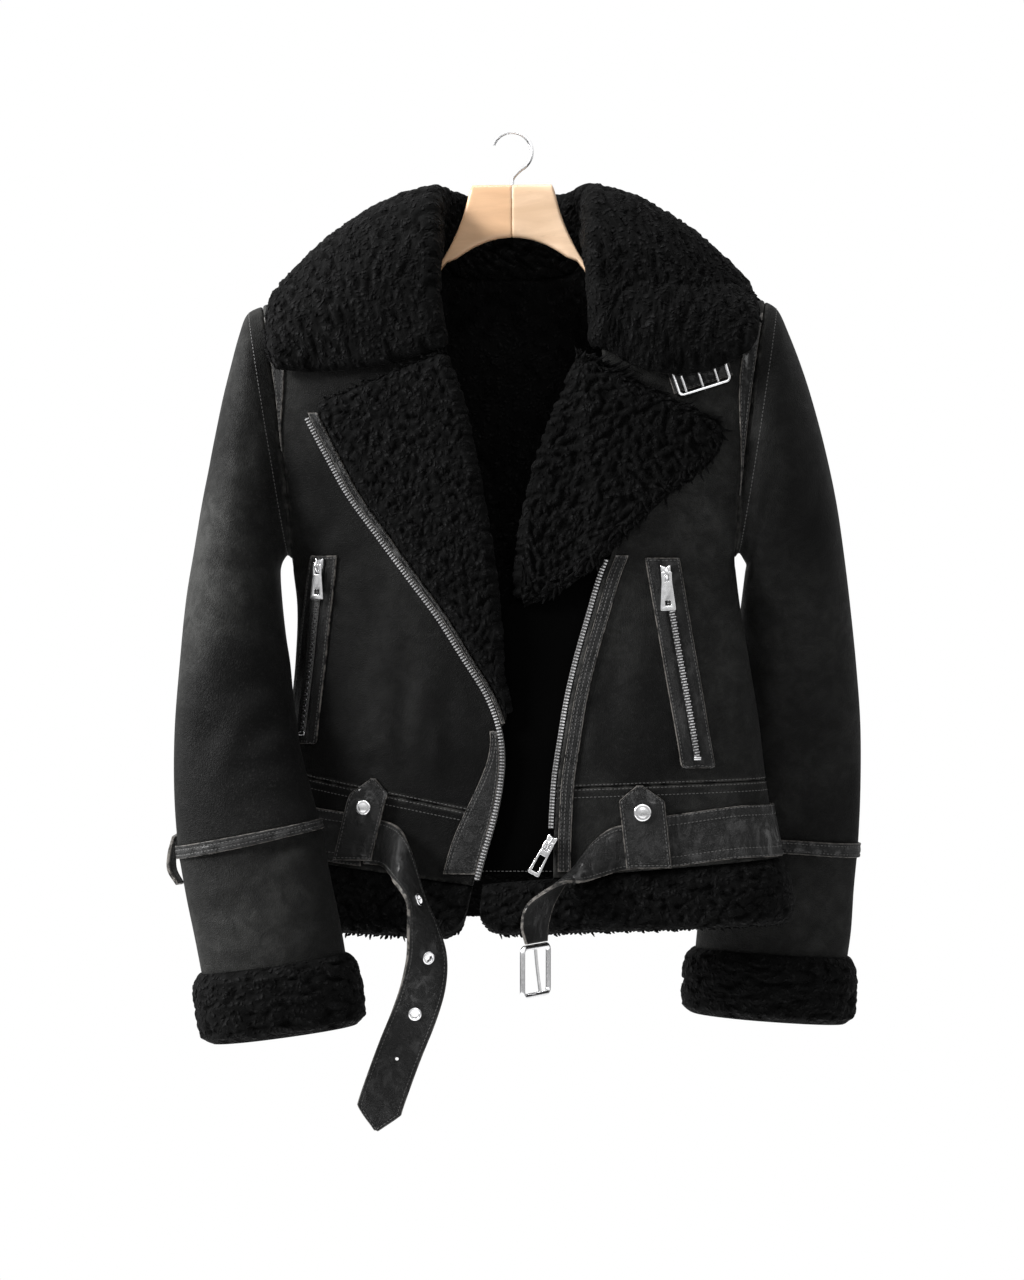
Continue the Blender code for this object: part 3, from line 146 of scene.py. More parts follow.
# Sleeve rings: outer and inner point in the front view, centre and half depth in y.
Tube = namedtuple("Tube", "outer_x outer_z inner_x inner_z middle half")
SLEEVE = {
    "left": [
        Tube(-229, -154, -194, -362, 19, 50), Tube(-236, -173, -198, -367, 18, 54),
        Tube(-243, -200, -200, -374, 16, 56), Tube(-250, -230, -200, -382, 13, 57),
        Tube(-258, -272, -199, -394, 9, 57), Tube(-266, -315, -197, -412, 4, 55),
        Tube(-273, -359, -194, -434, -2, 52), Tube(-279, -401, -190, -456, -11, 49),
        Tube(-283, -452, -186, -487, -25, 46), Tube(-286, -513, -179, -528, -43, 43),
        Tube(-285, -568, -169, -564, -55, 41), Tube(-281, -612, -162, -588, -63, 40),
        Tube(-279, -624, -159, -600, -64, 39), Tube(-273, -653, -153, -631, -72, 38),
        Tube(-265, -688, -144, -672, -79, 37), Tube(-258, -723, -138, -706, -82, 36),
        Tube(-250, -766, -132, -750, -84, 35),
    ],
    "right": [
        Tube(227, -154, 194, -361, -20, 50), Tube(236, -173, 198.5, -367, -18, 54),
        Tube(247, -200, 201, -372, -13, 56), Tube(257, -230, 200, -379, -9, 57),
        Tube(269, -273, 199, -389, -3, 57), Tube(279, -315, 198, -402, 8, 55),
        Tube(287, -362, 196, -424, 18, 52), Tube(293, -403, 194, -452, 28, 49),
        Tube(299, -452, 190, -487, 38, 46), Tube(304, -508, 184, -530, 47, 43),
        Tube(305, -564, 176, -572, 55, 41), Tube(303, -617, 170, -607, 59, 40),
        Tube(302, -629, 169, -622, 61, 39), Tube(300, -655, 166, -653, 65, 38),
        Tube(298, -690, 163, -687, 68, 37), Tube(294, -722, 161, -712, 69, 36),
        Tube(291, -766, 160, -756, 69, 35),
    ],
}
ELBOW = 11              # the upper sleeve ends at this ring of the table, counted from 0

# ---------------------------------------------------------------- the form


def smooth(at, knots, values):
    """Cubic through the knots, each knot's slope taken from its neighbours."""
    knots = np.asarray(knots, float)
    values = np.asarray(values, float)
    at = np.clip(at, knots[0], knots[-1])
    slopes = np.gradient(values, knots)
    i = np.clip(np.searchsorted(knots, at, side="right") - 1, 0, len(knots) - 2)
    h = knots[i + 1] - knots[i]
    t = (at - knots[i]) / h
    rise = values[i + 1] - values[i]
    bend = (1 - t) * (slopes[i] * h - rise) - t * (slopes[i + 1] * h - rise)
    return values[i] + t * rise + t * (1 - t) * bend


def column(table, name):
    return np.array([getattr(row, name) for row in table], float)


def by_columns(curve, at, knots, line):
    """A curve, np.interp or smooth, through each column of a line of points."""
    return np.stack([curve(at, knots, line[:, k]) for k in range(line.shape[1])], axis=-1)


def turns(count):
    """Angles evenly round a circle."""
    return np.linspace(0, 2 * math.pi, count, endpoint=False)


def unit(vectors):
    return vectors / np.linalg.norm(vectors, axis=-1, keepdims=True)


def edge_x(edges, z):
    """Where a named line stands at height z; its table runs downwards."""
    return smooth(-np.asarray(z, float), -column(edges, "z"), column(edges, "x"))


def step(value, low, high):
    """0 below low, 1 above high and a soft slope between."""
    t = np.clip((value - low) / (high - low), 0, 1)
    return t * t * (3 - 2 * t)


def shoulder_line(x):
    """Height of the shoulder seam at x: an even fall from neck to tip, rounded at the nape."""
    slope = (NECK_Z - TIP_Z) / (math.hypot(TIP_X, NECK_ROUND) - math.hypot(NECK_X, NECK_ROUND))
    return NECK_Z - slope * (np.hypot(x, NECK_ROUND) - math.hypot(NECK_X, NECK_ROUND))


def turned(x):
    """The body's middle surface."""
    return -TURN * x


def soft_folds(x, z, side):
    """Share by which shallow drape folds deepen the torso."""
    fall = step(-z, 230, 420)
    front = 0.035 * np.sin(x / 34 - z / 95 + 0.6 * np.sin(z / 60)) * fall
    blouse = 0.05 * np.exp(-((z + 520) / 24) ** 2)
    back = 0.03 * np.sin(x / 41 + z / 130) * step(-z, 160, 380)
    return np.where(side < 0, front, back) + blouse


def half_depth_squared(x, z, side):
    """Square of the torso's half depth: depth^2 (1 - |x / width|^p)^(2 / p), times the quarter
    circle 1 - (1 - drop)^2 where the shoulder rolls over."""
    down = -column(TORSO, "z")
    width = np.where(
        x < 0, smooth(-z, down, column(TORSO, "left")), smooth(-z, down, column(TORSO, "right"))
    )
    depth = np.where(
        side < 0, smooth(-z, down, column(TORSO, "front")), smooth(-z, down, column(TORSO, "back"))
    )
    across = np.clip(1 - np.abs(x / width) ** RING_POWER, 0, None) ** (2 / RING_POWER)
    drop = np.clip((shoulder_line(x) - z) / SHOULDER_ROLL, 0, 1)
    return (depth * (1 + soft_folds(x, z, side))) ** 2 * across * (1 - (1 - drop) ** 2)


# A crease runs between two points of the front or back view; a ridge follows on its upper side.
Crease = namedtuple("Crease", "x z to_x to_z width depth")
CREASES = {
    "front": [
        Crease(-88, -440, -72, -560, 11, 2.6), Crease(-118, -400, -108, -545, 13, 2.2),
        Crease(-70, -500, -66, -552, 6, 1.5), Crease(-150, -330, -172, -372, 9, 1.8),
        Crease(-186, -330, -164, -352, 7, 1.8), Crease(-126, -556, -118, -530, 6, 1.2),
        Crease(-52, -470, -44, -530, 8, 1.3), Crease(150, -320, 182, -352, 9, 1.8),
        Crease(100, -420, 92, -535, 12, 1.6), Crease(186, -370, 172, -420, 8, 1.6),
        Crease(178, -450, 192, -545, 10, 1.8), Crease(62, -500, 58, -552, 8, 1.2),
        Crease(130, -548, 150, -520, 6, 1.0), Crease(205, -500, 190, -540, 7, 1.3),
    ],
    "back": [
        Crease(-150, -330, -120, -380, 10, 2.2), Crease(-176, -350, -140, -430, 12, 2.2),
        Crease(152, -325, 118, -372, 10, 2.2), Crease(178, -356, 146, -436, 12, 2.4),
        Crease(-90, -420, -70, -545, 14, 2.4), Crease(84, -430, 60, -545, 14, 2.2),
        Crease(10, -470, -6, -548, 10, 1.6), Crease(-40, -180, 34, -196, 16, 1.6),
        Crease(-140, -480, -150, -548, 9, 1.6), Crease(136, -490, 146, -548, 9, 1.5),
    ],
    "sleeve_left": [
        Crease(-205, -400, -240, -372, 9, 3.0), Crease(-198, -432, -250, -424, 8, 2.6),
        Crease(-196, -470, -236, -486, 9, 2.2), Crease(-188, -500, -225, -532, 9, 2.6),
        Crease(-184, -540, -236, -552, 7, 2.2), Crease(-270, -520, -236, -500, 10, 1.8),
        Crease(-262, -300, -236, -262, 12, 2.0), Crease(-222, -250, -212, -330, 10, 1.6),
        Crease(-168, -600, -206, -622, 8, 1.8), Crease(-262, -660, -222, -650, 8, 1.4),
        Crease(-154, -668, -190, -680, 7, 1.6), Crease(-246, -470, -252, -560, 15, 1.4),
    ],
    "sleeve_right": [
        Crease(202, -396, 232, -420, 9, 3.0), Crease(200, -430, 224, -470, 8, 2.8),
        Crease(196, -470, 222, -520, 10, 2.8), Crease(190, -520, 226, -560, 9, 2.2),
        Crease(214, -250, 228, -330, 12, 2.0), Crease(236, -330, 244, -440, 16, 1.6),
        Crease(280, -470, 262, -540, 12, 1.4), Crease(178, -590, 214, -604, 8, 1.8),
        Crease(180, -650, 216, -640, 8, 1.4), Crease(276, -690, 236, -676, 8, 1.4),
        Crease(296, -560, 262, -575, 10, 1.2), Crease(250, -560, 262, -620, 13, 1.2),
    ],
}
PANEL_NAP = 0.5         # height of the hide's slow unevenness
CREASE_DEPTH = 1.35     # a valley's depth over the depth in its table
RIDGE_SHARE = 0.55      # a ridge's height over its valley's depth


def creased(x, z, table):
    """Relief of a table of creases at x, z: each is a valley along a segment, deepest at its
    middle, with a lower ridge beside it; slow unevenness of the hide is added."""
    x, z = np.broadcast_arrays(np.asarray(x, float), np.asarray(z, float))
    relief = PANEL_NAP * np.sin(x / 17 + 1.3 * np.sin(z / 29))
    relief = relief * np.sin(z / 23 + 0.9 * np.sin(x / 31))
    for row in table:
        run = np.array([row.to_x - row.x, row.to_z - row.z], float)
        length = np.hypot(*run)
        run /= length
        at = ((x - row.x) * run[0] + (z - row.z) * run[1]) / length
        off = (z - row.z) * run[0] - (x - row.x) * run[1]
        off = off + 0.12 * length * np.sin(2.2 * at)
        taper = np.sin(math.pi * np.clip(0.5 + (at - 0.5) / 1.5, 0, 1)) ** 2
        valley = np.exp(-((off / row.width) ** 2))
        ridge = np.exp(-(((off - 1.7 * row.width) / (1.2 * row.width)) ** 2))
        relief = relief - CREASE_DEPTH * row.depth * taper * (valley - RIDGE_SHARE * ridge)
    return relief


def body(x, z, side, out=0.0, drape=1.0):
    """Points of the torso's outer face at x, z, moved out along its normals, and the normals.

    y is the middle surface plus or minus the half depth of a superellipse ring; the drape's
    creases lie on top of it, so that whatever is on a panel follows them; drape 0 leaves them out.
    """
    x, z, side, out = np.broadcast_arrays(*(np.asarray(v, float) for v in (x, z, side, out)))
    y = turned(x) + side * (SEAM / 2 + np.sqrt(half_depth_squared(x, z, side)))

    def outside(dx, dy, dz):
        return (y + dy - turned(x + dx)) ** 2 - half_depth_squared(x + dx, z + dz, side)

    h = 0.05
    slope = np.stack(
        [
            outside(h, 0, 0) - outside(-h, 0, 0),
            outside(0, h, 0) - outside(0, -h, 0),
            outside(0, 0, h) - outside(0, 0, -h),
        ],
        axis=-1,
    )
    normal = unit(slope)
    calm = step(-z, 150, 210) * (1 - step(-z, 540, 556)) * step(np.abs(normal[..., 1]), 0.2, 0.6)
    relief = np.where(side < 0, creased(x, z, CREASES["front"]), creased(x, z, CREASES["back"]))
    out = out + drape * calm * relief
    return np.stack([x, y, z], axis=-1) + out[..., None] * normal, normal


def arm_heights(rows):
    """Heights down the armhole, closer together at both of its ends."""
    angle = np.linspace(0, math.pi, rows)
    return (TIP_Z + UNDERARM_Z) / 2 + (TIP_Z - UNDERARM_Z) / 2 * np.cos(angle)


def side_x(z, sign):
    """The side edge of a panel: the armhole's line, then the torso's widest line."""
    down = -column(TORSO, "z")
    widest = smooth(-z, down, column(TORSO, "left" if sign < 0 else "right"))
    return sign * np.where(z >= UNDERARM_Z, edge_x(ARMHOLE, z), widest)


def ruled(inside, outside, spread):
    """Rows of points from one edge to the other, as x and z; inside and outside are (x, z).

    Rows run at a share of the way between the edges' drops below the shoulder line, so that a
    row that starts and ends on the shoulder seam stays on it.
    """
    (ax, az), (bx, bz) = inside, outside
    share = np.asarray(spread, float)[None, :]

    def across(a, b):
        return a[:, None] * (1 - share) + b[:, None] * share

    x, straight = across(ax, bx), across(az, bz)
    drop = across(shoulder_line(ax) - az, shoulder_line(bx) - bz)
    lower = step(-bz, 160, 366)[:, None]
    return x, (shoulder_line(x) - drop) * (1 - lower) + straight * lower


GAP = SEAM / 2


def roll_inset(z, wanted):
    """How far a front's edge stays back from the roll line, to leave the turned fur its room."""
    return wanted * step(-z, 96, 150) * (1 - step(-z, 455, 512))


def centre_left(z):
    """The left front's edge, set back from its roll line."""
    return edge_x(ROLL_LEFT, z) - roll_inset(z, FUR + SEAM) - 1.0


def grid_normals(points, ring=False):
    """Unit normals of a grid of points; ring joins the last column to the first."""
    if ring:
        across = np.roll(points, -1, axis=1) - np.roll(points, 1, axis=1)
    else:
        across = np.gradient(points, axis=1)
    along = np.gradient(points, axis=0)
    normal = np.cross(across, along)
    return unit(normal)


def clear_of_body(points, space):
    """Points moved off the torso, forwards or backwards, where they would be within this space."""
    x, y, z = np.moveaxis(points, -1, 0)
    away = y - turned(x)
    side = np.where(away < 0, -1, 1)
    depth = np.sqrt(half_depth_squared(x, z, side))
    moved = points.copy()
    least = np.where(depth > 0, depth + space, 0)
    moved[..., 1] = turned(x) + side * np.maximum(np.abs(away), least)
    return moved


# ---------------------------------------------------------------- grids
THIN_BORDER, BELT_BORDER = 1.2, 1.6     # width of a rounded border on single leather and on a belt


def shares(count, length, border=2.4):
    """Shares from 0 to 1, with three more close to each end for a rounded border; length in mm."""
    edge = np.array([0, 0.12, 0.35, 1.0]) * border / max(length, 3 * border)
    inside = np.linspace(edge[-1], 1 - edge[-1], count)[1:-1]
    return np.concatenate([edge, inside, 1 - edge[::-1]])


def run_lengths(points, axis):
    """Distance along a grid from its first row or column, in the same units as the points."""
    gap = np.linalg.norm(np.diff(points, axis=axis), axis=-1)
    first = np.zeros_like(np.take(gap, [0], axis=axis))
    return np.concatenate([first, np.cumsum(gap, axis=axis)], axis=axis)


def border_distance(points, ring):
    """Distance from each grid point to the nearest free border, measured along the grid."""
    down = run_lengths(points, 0)
    near = np.minimum(down, down[-1:] - down)
    if not ring:
        across = run_lengths(points, 1)
        near = np.minimum(near, np.minimum(across, across[:, -1:] - across))
    return near


def between(grid, rows):
    """A grid's rows taken at fractional places, by the same cubic as the tables."""
    knots = np.arange(len(grid), dtype=float)
    flat = grid.reshape(len(grid), -1)
    return by_columns(smooth, rows, knots, flat).reshape(len(rows), *grid.shape[1:])


def index_quads(index):
    """Quads between neighbouring rows and columns of a grid of point numbers."""
    return np.stack(
        [index[:-1, :-1], index[:-1, 1:], index[1:, 1:], index[1:, :-1]], axis=-1
    ).reshape(-1, 4)


def ring_quads(rows, around, joined=False):
    """Quads between closed rings of points; joined ties the last ring to the first."""
    index = np.arange(rows * around).reshape(rows, around)
    index = np.concatenate([index, index[:, :1]], axis=1)
    if joined:
        index = np.concatenate([index, index[:1]], axis=0)
    return index_quads(index)


def grid_faces(rows, columns, ring):
    """Quads of a closed wall: outer grid, inner grid turned round, and the rims between them."""
    count = rows * columns
    index = np.arange(count).reshape(rows, columns)
    if ring:
        index = np.concatenate([index, index[:, :1]], axis=1)
    front = index_quads(index)
    faces = [front, front[:, ::-1] + count]
    loops = [index[0], index[-1][::-1]]
    if not ring:
        loops += [index[:, -1], index[::-1, 0]]
    for loop in loops:
        faces.append(np.stack([loop[1:], loop[:-1], loop[:-1] + count, loop[1:] + count], axis=-1))
    return np.concatenate(faces), len(front)


def new_mesh(name, points, faces, attributes=None):
    """A mesh from arrays in millimetres; faces all have the same number of corners."""
    mesh = bpy.data.meshes.new(name)
    points = np.asarray(points, float).reshape(-1, 3)
    if not np.isfinite(points).all():
        raise ValueError(name + " has a point that isn't a number")
    corners = faces.shape[1]
    mesh.vertices.add(len(points))
    mesh.vertices.foreach_set("co", (points * MM).ravel())
    mesh.loops.add(faces.size)
    mesh.loops.foreach_set("vertex_index", faces.ravel().astype(np.int32))
    mesh.polygons.add(len(faces))
    mesh.polygons.foreach_set("loop_start", np.arange(0, faces.size, corners, dtype=np.int32))
    mesh.update(calc_edges=True)
    for label, values in (attributes or {}).items():
        made = mesh.attributes.new(label, "FLOAT", "POINT")
        made.data.foreach_set("value", np.asarray(values, np.float32).ravel())
    mesh.validate()
    return mesh


def seal(mesh, sides):
    """Closes a mesh's open ends with a face each and turns every face outwards."""
    work = bmesh.new()
    work.from_mesh(mesh)
    ends = [edge for edge in work.edges if edge.is_boundary]
    bmesh.ops.holes_fill(work, edges=ends, sides=sides)
    bmesh.ops.recalc_face_normals(work, faces=work.faces)
    work.to_mesh(mesh)
    work.free()


def signed_volume(mesh):
    """Above zero where the faces point outwards."""
    mesh.calc_loop_triangles()
    points = np.empty(len(mesh.vertices) * 3)
    mesh.vertices.foreach_get("co", points)
    faces = np.empty(len(mesh.loop_triangles) * 3, np.int32)
    mesh.loop_triangles.foreach_get("vertices", faces)
    return np.linalg.det(points.reshape(-1, 3)[faces.reshape(-1, 3)]).sum()


def new_object(name, data):
    made = bpy.data.objects.new(name, data)
    bpy.context.scene.collection.objects.link(made)
    return made


def add_piece(name, mesh, finish, rides="jacket", crisp=40.0):
    """An object from a mesh in the frame's axes, facing out, smooth but for sharp corners."""
    if signed_volume(mesh) < 0:
        mesh.flip_normals()
    mesh.shade_smooth()
    if crisp:
        mesh.set_sharp_from_angle(angle=math.radians(crisp))
    finishes = [finish] if isinstance(finish, str) else finish
    for each in finishes:
        mesh.materials.append(finished(each))
    made = new_object(name, mesh)
    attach(made, rides)
    return made


WALL_ROUND = 0.45       # radius of a wall's rounded border over its thickness
GROOVE_WIDE = 1.1       # half width of a sunk stitch line
SLOTS = dict.fromkeys(("leather_shaded", "thread_black", "tape_black"), "leather_black")
Grid = namedtuple("Grid", "object outer normal")


def wall(name, outer, inner, finish, ring=False, groove=None, cloth=None):
    """A closed wall between two grids, its borders rounded as a quarter circle.

    finish is one material, or (outside, inside). groove is (distance from the border, depth) of a
    sunk stitch line. cloth, when given, has the sheet's cut worked out from the grid's own size;
    nothing keeps it, and the value is not used otherwise.
    """
    away = outer - inner
    thick = np.linalg.norm(away, axis=-1, keepdims=True)
    normal = away / thick
    near = border_distance(outer, ring)
    radius = WALL_ROUND * thick[..., 0]
    inside = np.clip(1 - near / radius, 0, 1)
    sink = radius * (1 - np.sqrt(1 - inside**2))
    if groove:
        sink = sink + groove[1] * np.exp(-(((near - groove[0]) / GROOVE_WIDE) ** 2))
    shaped = outer - sink[..., None] * normal
    faces, front = grid_faces(*outer.shape[:2], ring)
    mesh = new_mesh(
        name, np.concatenate([shaped.reshape(-1, 3), inner.reshape(-1, 3)]), faces,
        {"edge": np.tile(near.ravel(), 2), "lift": np.zeros(2 * near.size)},
    )
    if not isinstance(finish, str):
        index = np.zeros(len(mesh.polygons), np.int32)
        index[front:2 * front] = 1
        mesh.polygons.foreach_set("material_index", index)
    made = add_piece(name, mesh, finish)
    if cloth:
        declare_sheet(outer)
    return Grid(made, shaped, normal)


def declare_sheet(outer):
    """Works out a sheet's cut: its widest row, its longest column and the area of its grid; nothing
    keeps them.
    """
    wide = float(run_lengths(outer, 1)[:, -1].max() * MM)
    long = float(run_lengths(outer, 0)[-1].max() * MM)
    a, b, c, d = outer[:-1, :-1], outer[:-1, 1:], outer[1:, 1:], outer[1:, :-1]
    area = np.linalg.norm(np.cross(c - a, d - b), axis=-1).sum() / 2 * MM * MM
    area = min(float(area), wide * long)


def on_torso(name, x, z, side, low, high, finish, **options):
    """A sheet over the torso between two distances from its outer face."""
    return wall(name, body(x, z, side, high)[0], body(x, z, side, low)[0], finish, **options)


# ---------------------------------------------------------------- wool
Curl = namedtuple("Curl", "cell slim turn_wave turn_spread")
LONG_CURL = Curl(7.6, 0.42, 44.0, 0.55)
TIGHT_CURL = Curl(6.2, 0.60, 26.0, 1.3)
LATTICE = 96
WOOL_LEAST = 0.4        # thickness of the wool in its deepest valleys
WOOL_OUT = 1.4          # where a lapel's or the collar's wool starts, out from the skin's base


def locks(u, v, curl, seed):
    """Height, 0 to 1, of overlapping locks over a surface with coordinates u, v in mm.

    Each cell of a jittered lattice holds one dome, longer than wide, turned by a slowly changing
    angle; the highest dome at a point counts, so that crisp valleys stay between the locks.
    """
    random = np.random.default_rng(seed)
    jitter = random.random((LATTICE, LATTICE, 2))
    turn = random.normal(0, curl.turn_spread, (LATTICE, LATTICE))
    tall = random.uniform(0.55, 1.0, (LATTICE, LATTICE))
    cell_u, cell_v = np.floor(u / curl.cell), np.floor(v / curl.cell)
    best = np.zeros(np.broadcast(u, v).shape)
    for step_u in (-1, 0, 1):
        for step_v in (-1, 0, 1):
            at_u, at_v = cell_u + step_u, cell_v + step_v
            key = (at_u.astype(int) % LATTICE, at_v.astype(int) % LATTICE)
            seed_u = (at_u + jitter[key][..., 0]) * curl.cell
            seed_v = (at_v + jitter[key][..., 1]) * curl.cell
            wave = seed_u / curl.turn_wave + 1.7 * np.sin(seed_v / curl.turn_wave)
            angle = 1.3 + 1.1 * np.sin(wave) + turn[key]
            off_u, off_v = u - seed_u, v - seed_v
            cosine, sine = np.cos(angle), np.sin(angle)
            along = (off_u * cosine + off_v * sine) / (1.05 * curl.cell)
            beside = (off_v * cosine - off_u * sine) / (curl.slim * 1.05 * curl.cell)
            beside = beside + 0.35 * along**2
            best = np.maximum(best, tall[key] * np.sqrt(np.clip(1 - along**2 - beside**2, 0, 1)))
    return best


def fleece(name, base, normal, height, curl, seed, ring=False, deep=4.4, roll=9.0, around_u=None):
    """A closed layer of wool on a grid: its top is the height, less the valleys between locks, and
    it rolls down to its borders as a quarter circle."""
    down = run_lengths(base, 0)
    across = run_lengths(base, 1) if around_u is None else around_u
    near = border_distance(base, ring)
    lift = 0.74 * locks(across, down, curl, seed) + 0.26 * locks(
        across + 7, down + 3, curl._replace(cell=0.58 * curl.cell), seed + 1
    )
    height = np.broadcast_to(height, near.shape)
    roll = np.minimum(roll, 0.9 * height)
    inside = np.clip(1 - near / roll, 0, 1)
    valley = deep * (1 - lift) * np.clip(height / 8, 0.35, 1)
    top = np.maximum(height - roll * (1 - np.sqrt(1 - inside**2)) - valley, WOOL_LEAST)
    outer = base + top[..., None] * normal
    faces, _ = grid_faces(*base.shape[:2], ring)
    # the lock height is kept as the lift attribute, by which the wool finish paints shade in the
    # valleys and light on the tips
    mesh = new_mesh(
        name, np.concatenate([outer.reshape(-1, 3), base.reshape(-1, 3)]), faces,
        {"lift": np.append(lift, np.zeros(lift.size)), "edge": np.tile(near.ravel(), 2)},
    )
    return Grid(add_piece(name, mesh, "wool_black", crisp=None), outer, normal)


def tufts(name, roots, away, up, length, thick, seed):
    """Single locks that stand over a border: each a tapering five-sided tube along a bent line
    from its root, leaning away and curling back up, with its own length, lean and curl."""
    random = np.random.default_rng(seed)
    count = len(roots)
    side = np.cross(away, up)
    long = (length * random.uniform(0.6, 1.15, count))[:, None]
    lean = random.normal(0, 0.28, count)[:, None]
    hook = random.uniform(0.1, 0.5, count)[:, None] * random.choice([-1, 1], count)[:, None]
    rings, sides = 5, 5
    t = np.linspace(0, 1, rings)
    angle = turns(sides)
    middle = (
        roots[:, None]
        + t[None, :, None] * (long * (away + lean * side))[:, None]
        + (t**2)[None, :, None] * (long * (hook * side + 0.3 * up))[:, None]
    )
    taper = (0.75 + 0.5 * t) * (1 - 0.9 * t**3)
    radius = thick * random.uniform(0.75, 1.2, count)[:, None] * taper[None]
    ring = (
        np.cos(angle)[None, None, :, None] * side[:, None, None]
        + 0.75 * np.sin(angle)[None, None, :, None] * up[:, None, None]
    )
    points = middle[:, :, None] + radius[:, :, None, None] * ring
    end = (rings - 1) * sides + np.array([[0, 1, 2, 3]])
    faces = np.concatenate([ring_quads(rings, sides), end])
    every = faces[None] + (np.arange(count) * rings * sides)[:, None, None]
    # lift rises from root to tip, so the wool finish paints each lock's root in shade and its tip
    # in light
    lift = np.broadcast_to((0.25 + 0.75 * t)[None, :, None], points.shape[:3])
    looks = {"lift": lift, "edge": np.full(lift.shape, 9.0)}
    mesh = new_mesh(name, points, every.reshape(-1, 4), looks)
    seal(mesh, sides + 1)
    return add_piece(name, mesh, "wool_black", crisp=None)


# ---------------------------------------------------------------- stitches and teeth
STITCH_LONG, STITCH_WIDE, STITCH_HIGH, STITCH_RISE = 2.4, 0.34, 0.34, 0.05


def resampled(line, normal, pitch):
    """Points, tangents and normals at an even pitch along a line of points."""
    at = np.concatenate([[0], np.cumsum(np.linalg.norm(np.diff(line, axis=0), axis=-1))])
    count = max(2, int(at[-1] / pitch))
    places = (np.arange(count) + 0.5) * at[-1] / count
    point, ahead, behind = (
        by_columns(np.interp, places + shift, at, line) for shift in (0, 0.4, -0.4)
    )
    return point, unit(ahead - behind), unit(by_columns(np.interp, places, at, normal))


def repeated(name, point, along, across, out, shape, faces, finish):
    """Copies of a small closed shape, (along, across, out) in mm, at many places, as one mesh."""
    shape, faces = np.asarray(shape, float), np.asarray(faces)
    points = (
        point[:, None]
        + shape[None, :, 0:1] * along[:, None]
        + shape[None, :, 1:2] * across[:, None]
        + shape[None, :, 2:3] * out[:, None]
    )
    every = faces[None] + (np.arange(len(point)) * len(shape))[:, None, None]
    mesh = new_mesh(name, points, every.reshape(-1, faces.shape[1]))
    return add_piece(name, mesh, finish, crisp=30.0)


STITCH_SHAPE = [
    (-0.5, 0, 0), (-0.28, -1, 0.2), (-0.28, 0, 1), (-0.28, 1, 0.2),
    (0.28, -1, 0.2), (0.28, 0, 1), (0.28, 1, 0.2), (0.5, 0, 0),
]
STITCH_FACES = [
    (0, 1, 2), (0, 2, 3), (0, 3, 1), (1, 4, 5), (1, 5, 2), (2, 5, 6), (2, 6, 3),
    (3, 6, 4), (3, 4, 1), (4, 7, 5), (5, 7, 6), (6, 7, 4),
]


def stitches(name, lines):
    """Rows of thread along lines of (points, normals), each stitch a small pointed bar."""
    found = [resampled(line, normal, of_size("stitch_pitch")) for line, normal in lines]
    point, along, out = (np.concatenate(part) for part in zip(*found))
    across = np.cross(out, along)
    shape = np.array(STITCH_SHAPE) * (STITCH_LONG, STITCH_WIDE, STITCH_HIGH)
    point = point + (STITCH_RISE - 0.1 * STITCH_HIGH) * out
    return repeated(name, point, along, across, out, shape, STITCH_FACES, "thread_black")


def inset_line(grid, border, inset):
    """The line on a grid's outer face at a distance from its first, last, top or foot border."""
    outer, normal = grid.outer, grid.normal
    if border in ("top", "foot"):
        outer, normal = outer.swapaxes(0, 1), normal.swapaxes(0, 1)
    if border in ("last", "foot"):
        outer, normal = outer[:, ::-1], normal[:, ::-1]
    far = run_lengths(outer, 1)
    share = np.array([np.interp(inset, row, np.arange(len(row))) for row in far])
    low = np.clip(share.astype(int), 0, outer.shape[1] - 2)
    part = (share - low)[:, None]
    row = np.arange(len(outer))
    return (
        outer[row, low] * (1 - part) + outer[row, low + 1] * part,
        normal[row, low] * (1 - part) + normal[row, low + 1] * part,
    )


def border_lines(grid, inset, *borders):
    return [inset_line(grid, border, inset) for border in borders]


def row_line(grid, row):
    """A row of a ring grid as a closed line, with its normals."""
    return tuple(np.concatenate([part[row], part[row, :1]]) for part in (grid.outer, grid.normal))


BLOCK_FACES = np.array([
    (0, 1, 2, 3), (4, 7, 6, 5), (0, 4, 5, 1), (1, 5, 6, 2), (2, 6, 7, 3), (3, 7, 4, 0),
])
TOOTH_FACES = np.concatenate([BLOCK_FACES, BLOCK_FACES + 8])


def tooth_shape(thick, wide, high):
    """A clamp on the tape and a narrower head towards the other side, as two closed blocks."""
    def rectangle(half, near, far, out):
        return [(-half, far, out), (half, far, out), (half, near, out), (-half, near, out)]

    def block(long, near, far, low, top, cut):
        foot = rectangle(long / 2, near, far, low)
        return foot + rectangle(long / 2 - cut, near + cut, far - cut, top)

    return block(thick, 0, 0.62 * wide, 0, high, 0.22) + block(
        0.62 * thick, 0.62 * wide + 0.02, wide, 0.15 * high, 0.8 * high, 0.12
    )


def teeth(name, line, normal, toward, pitch, wide, high, both=False):
    """Zip teeth along a line; toward is +1 or -1 for the side on which their heads stand."""
    point, along, out = resampled(line, normal, pitch)
    across = toward * np.cross(out, along)
    if both:
        turn = np.where(np.arange(len(point)) % 2 == 0, 1.0, -1.0)[:, None]
        across, along = across * turn, along * turn
        point = point - 0.42 * wide * across
    else:
        point = point - 0.5 * wide * across
    shape = tooth_shape(0.62 * pitch, wide, high)
    return repeated(name, point, along, across, out, shape, TOOTH_FACES, "metal_silver")


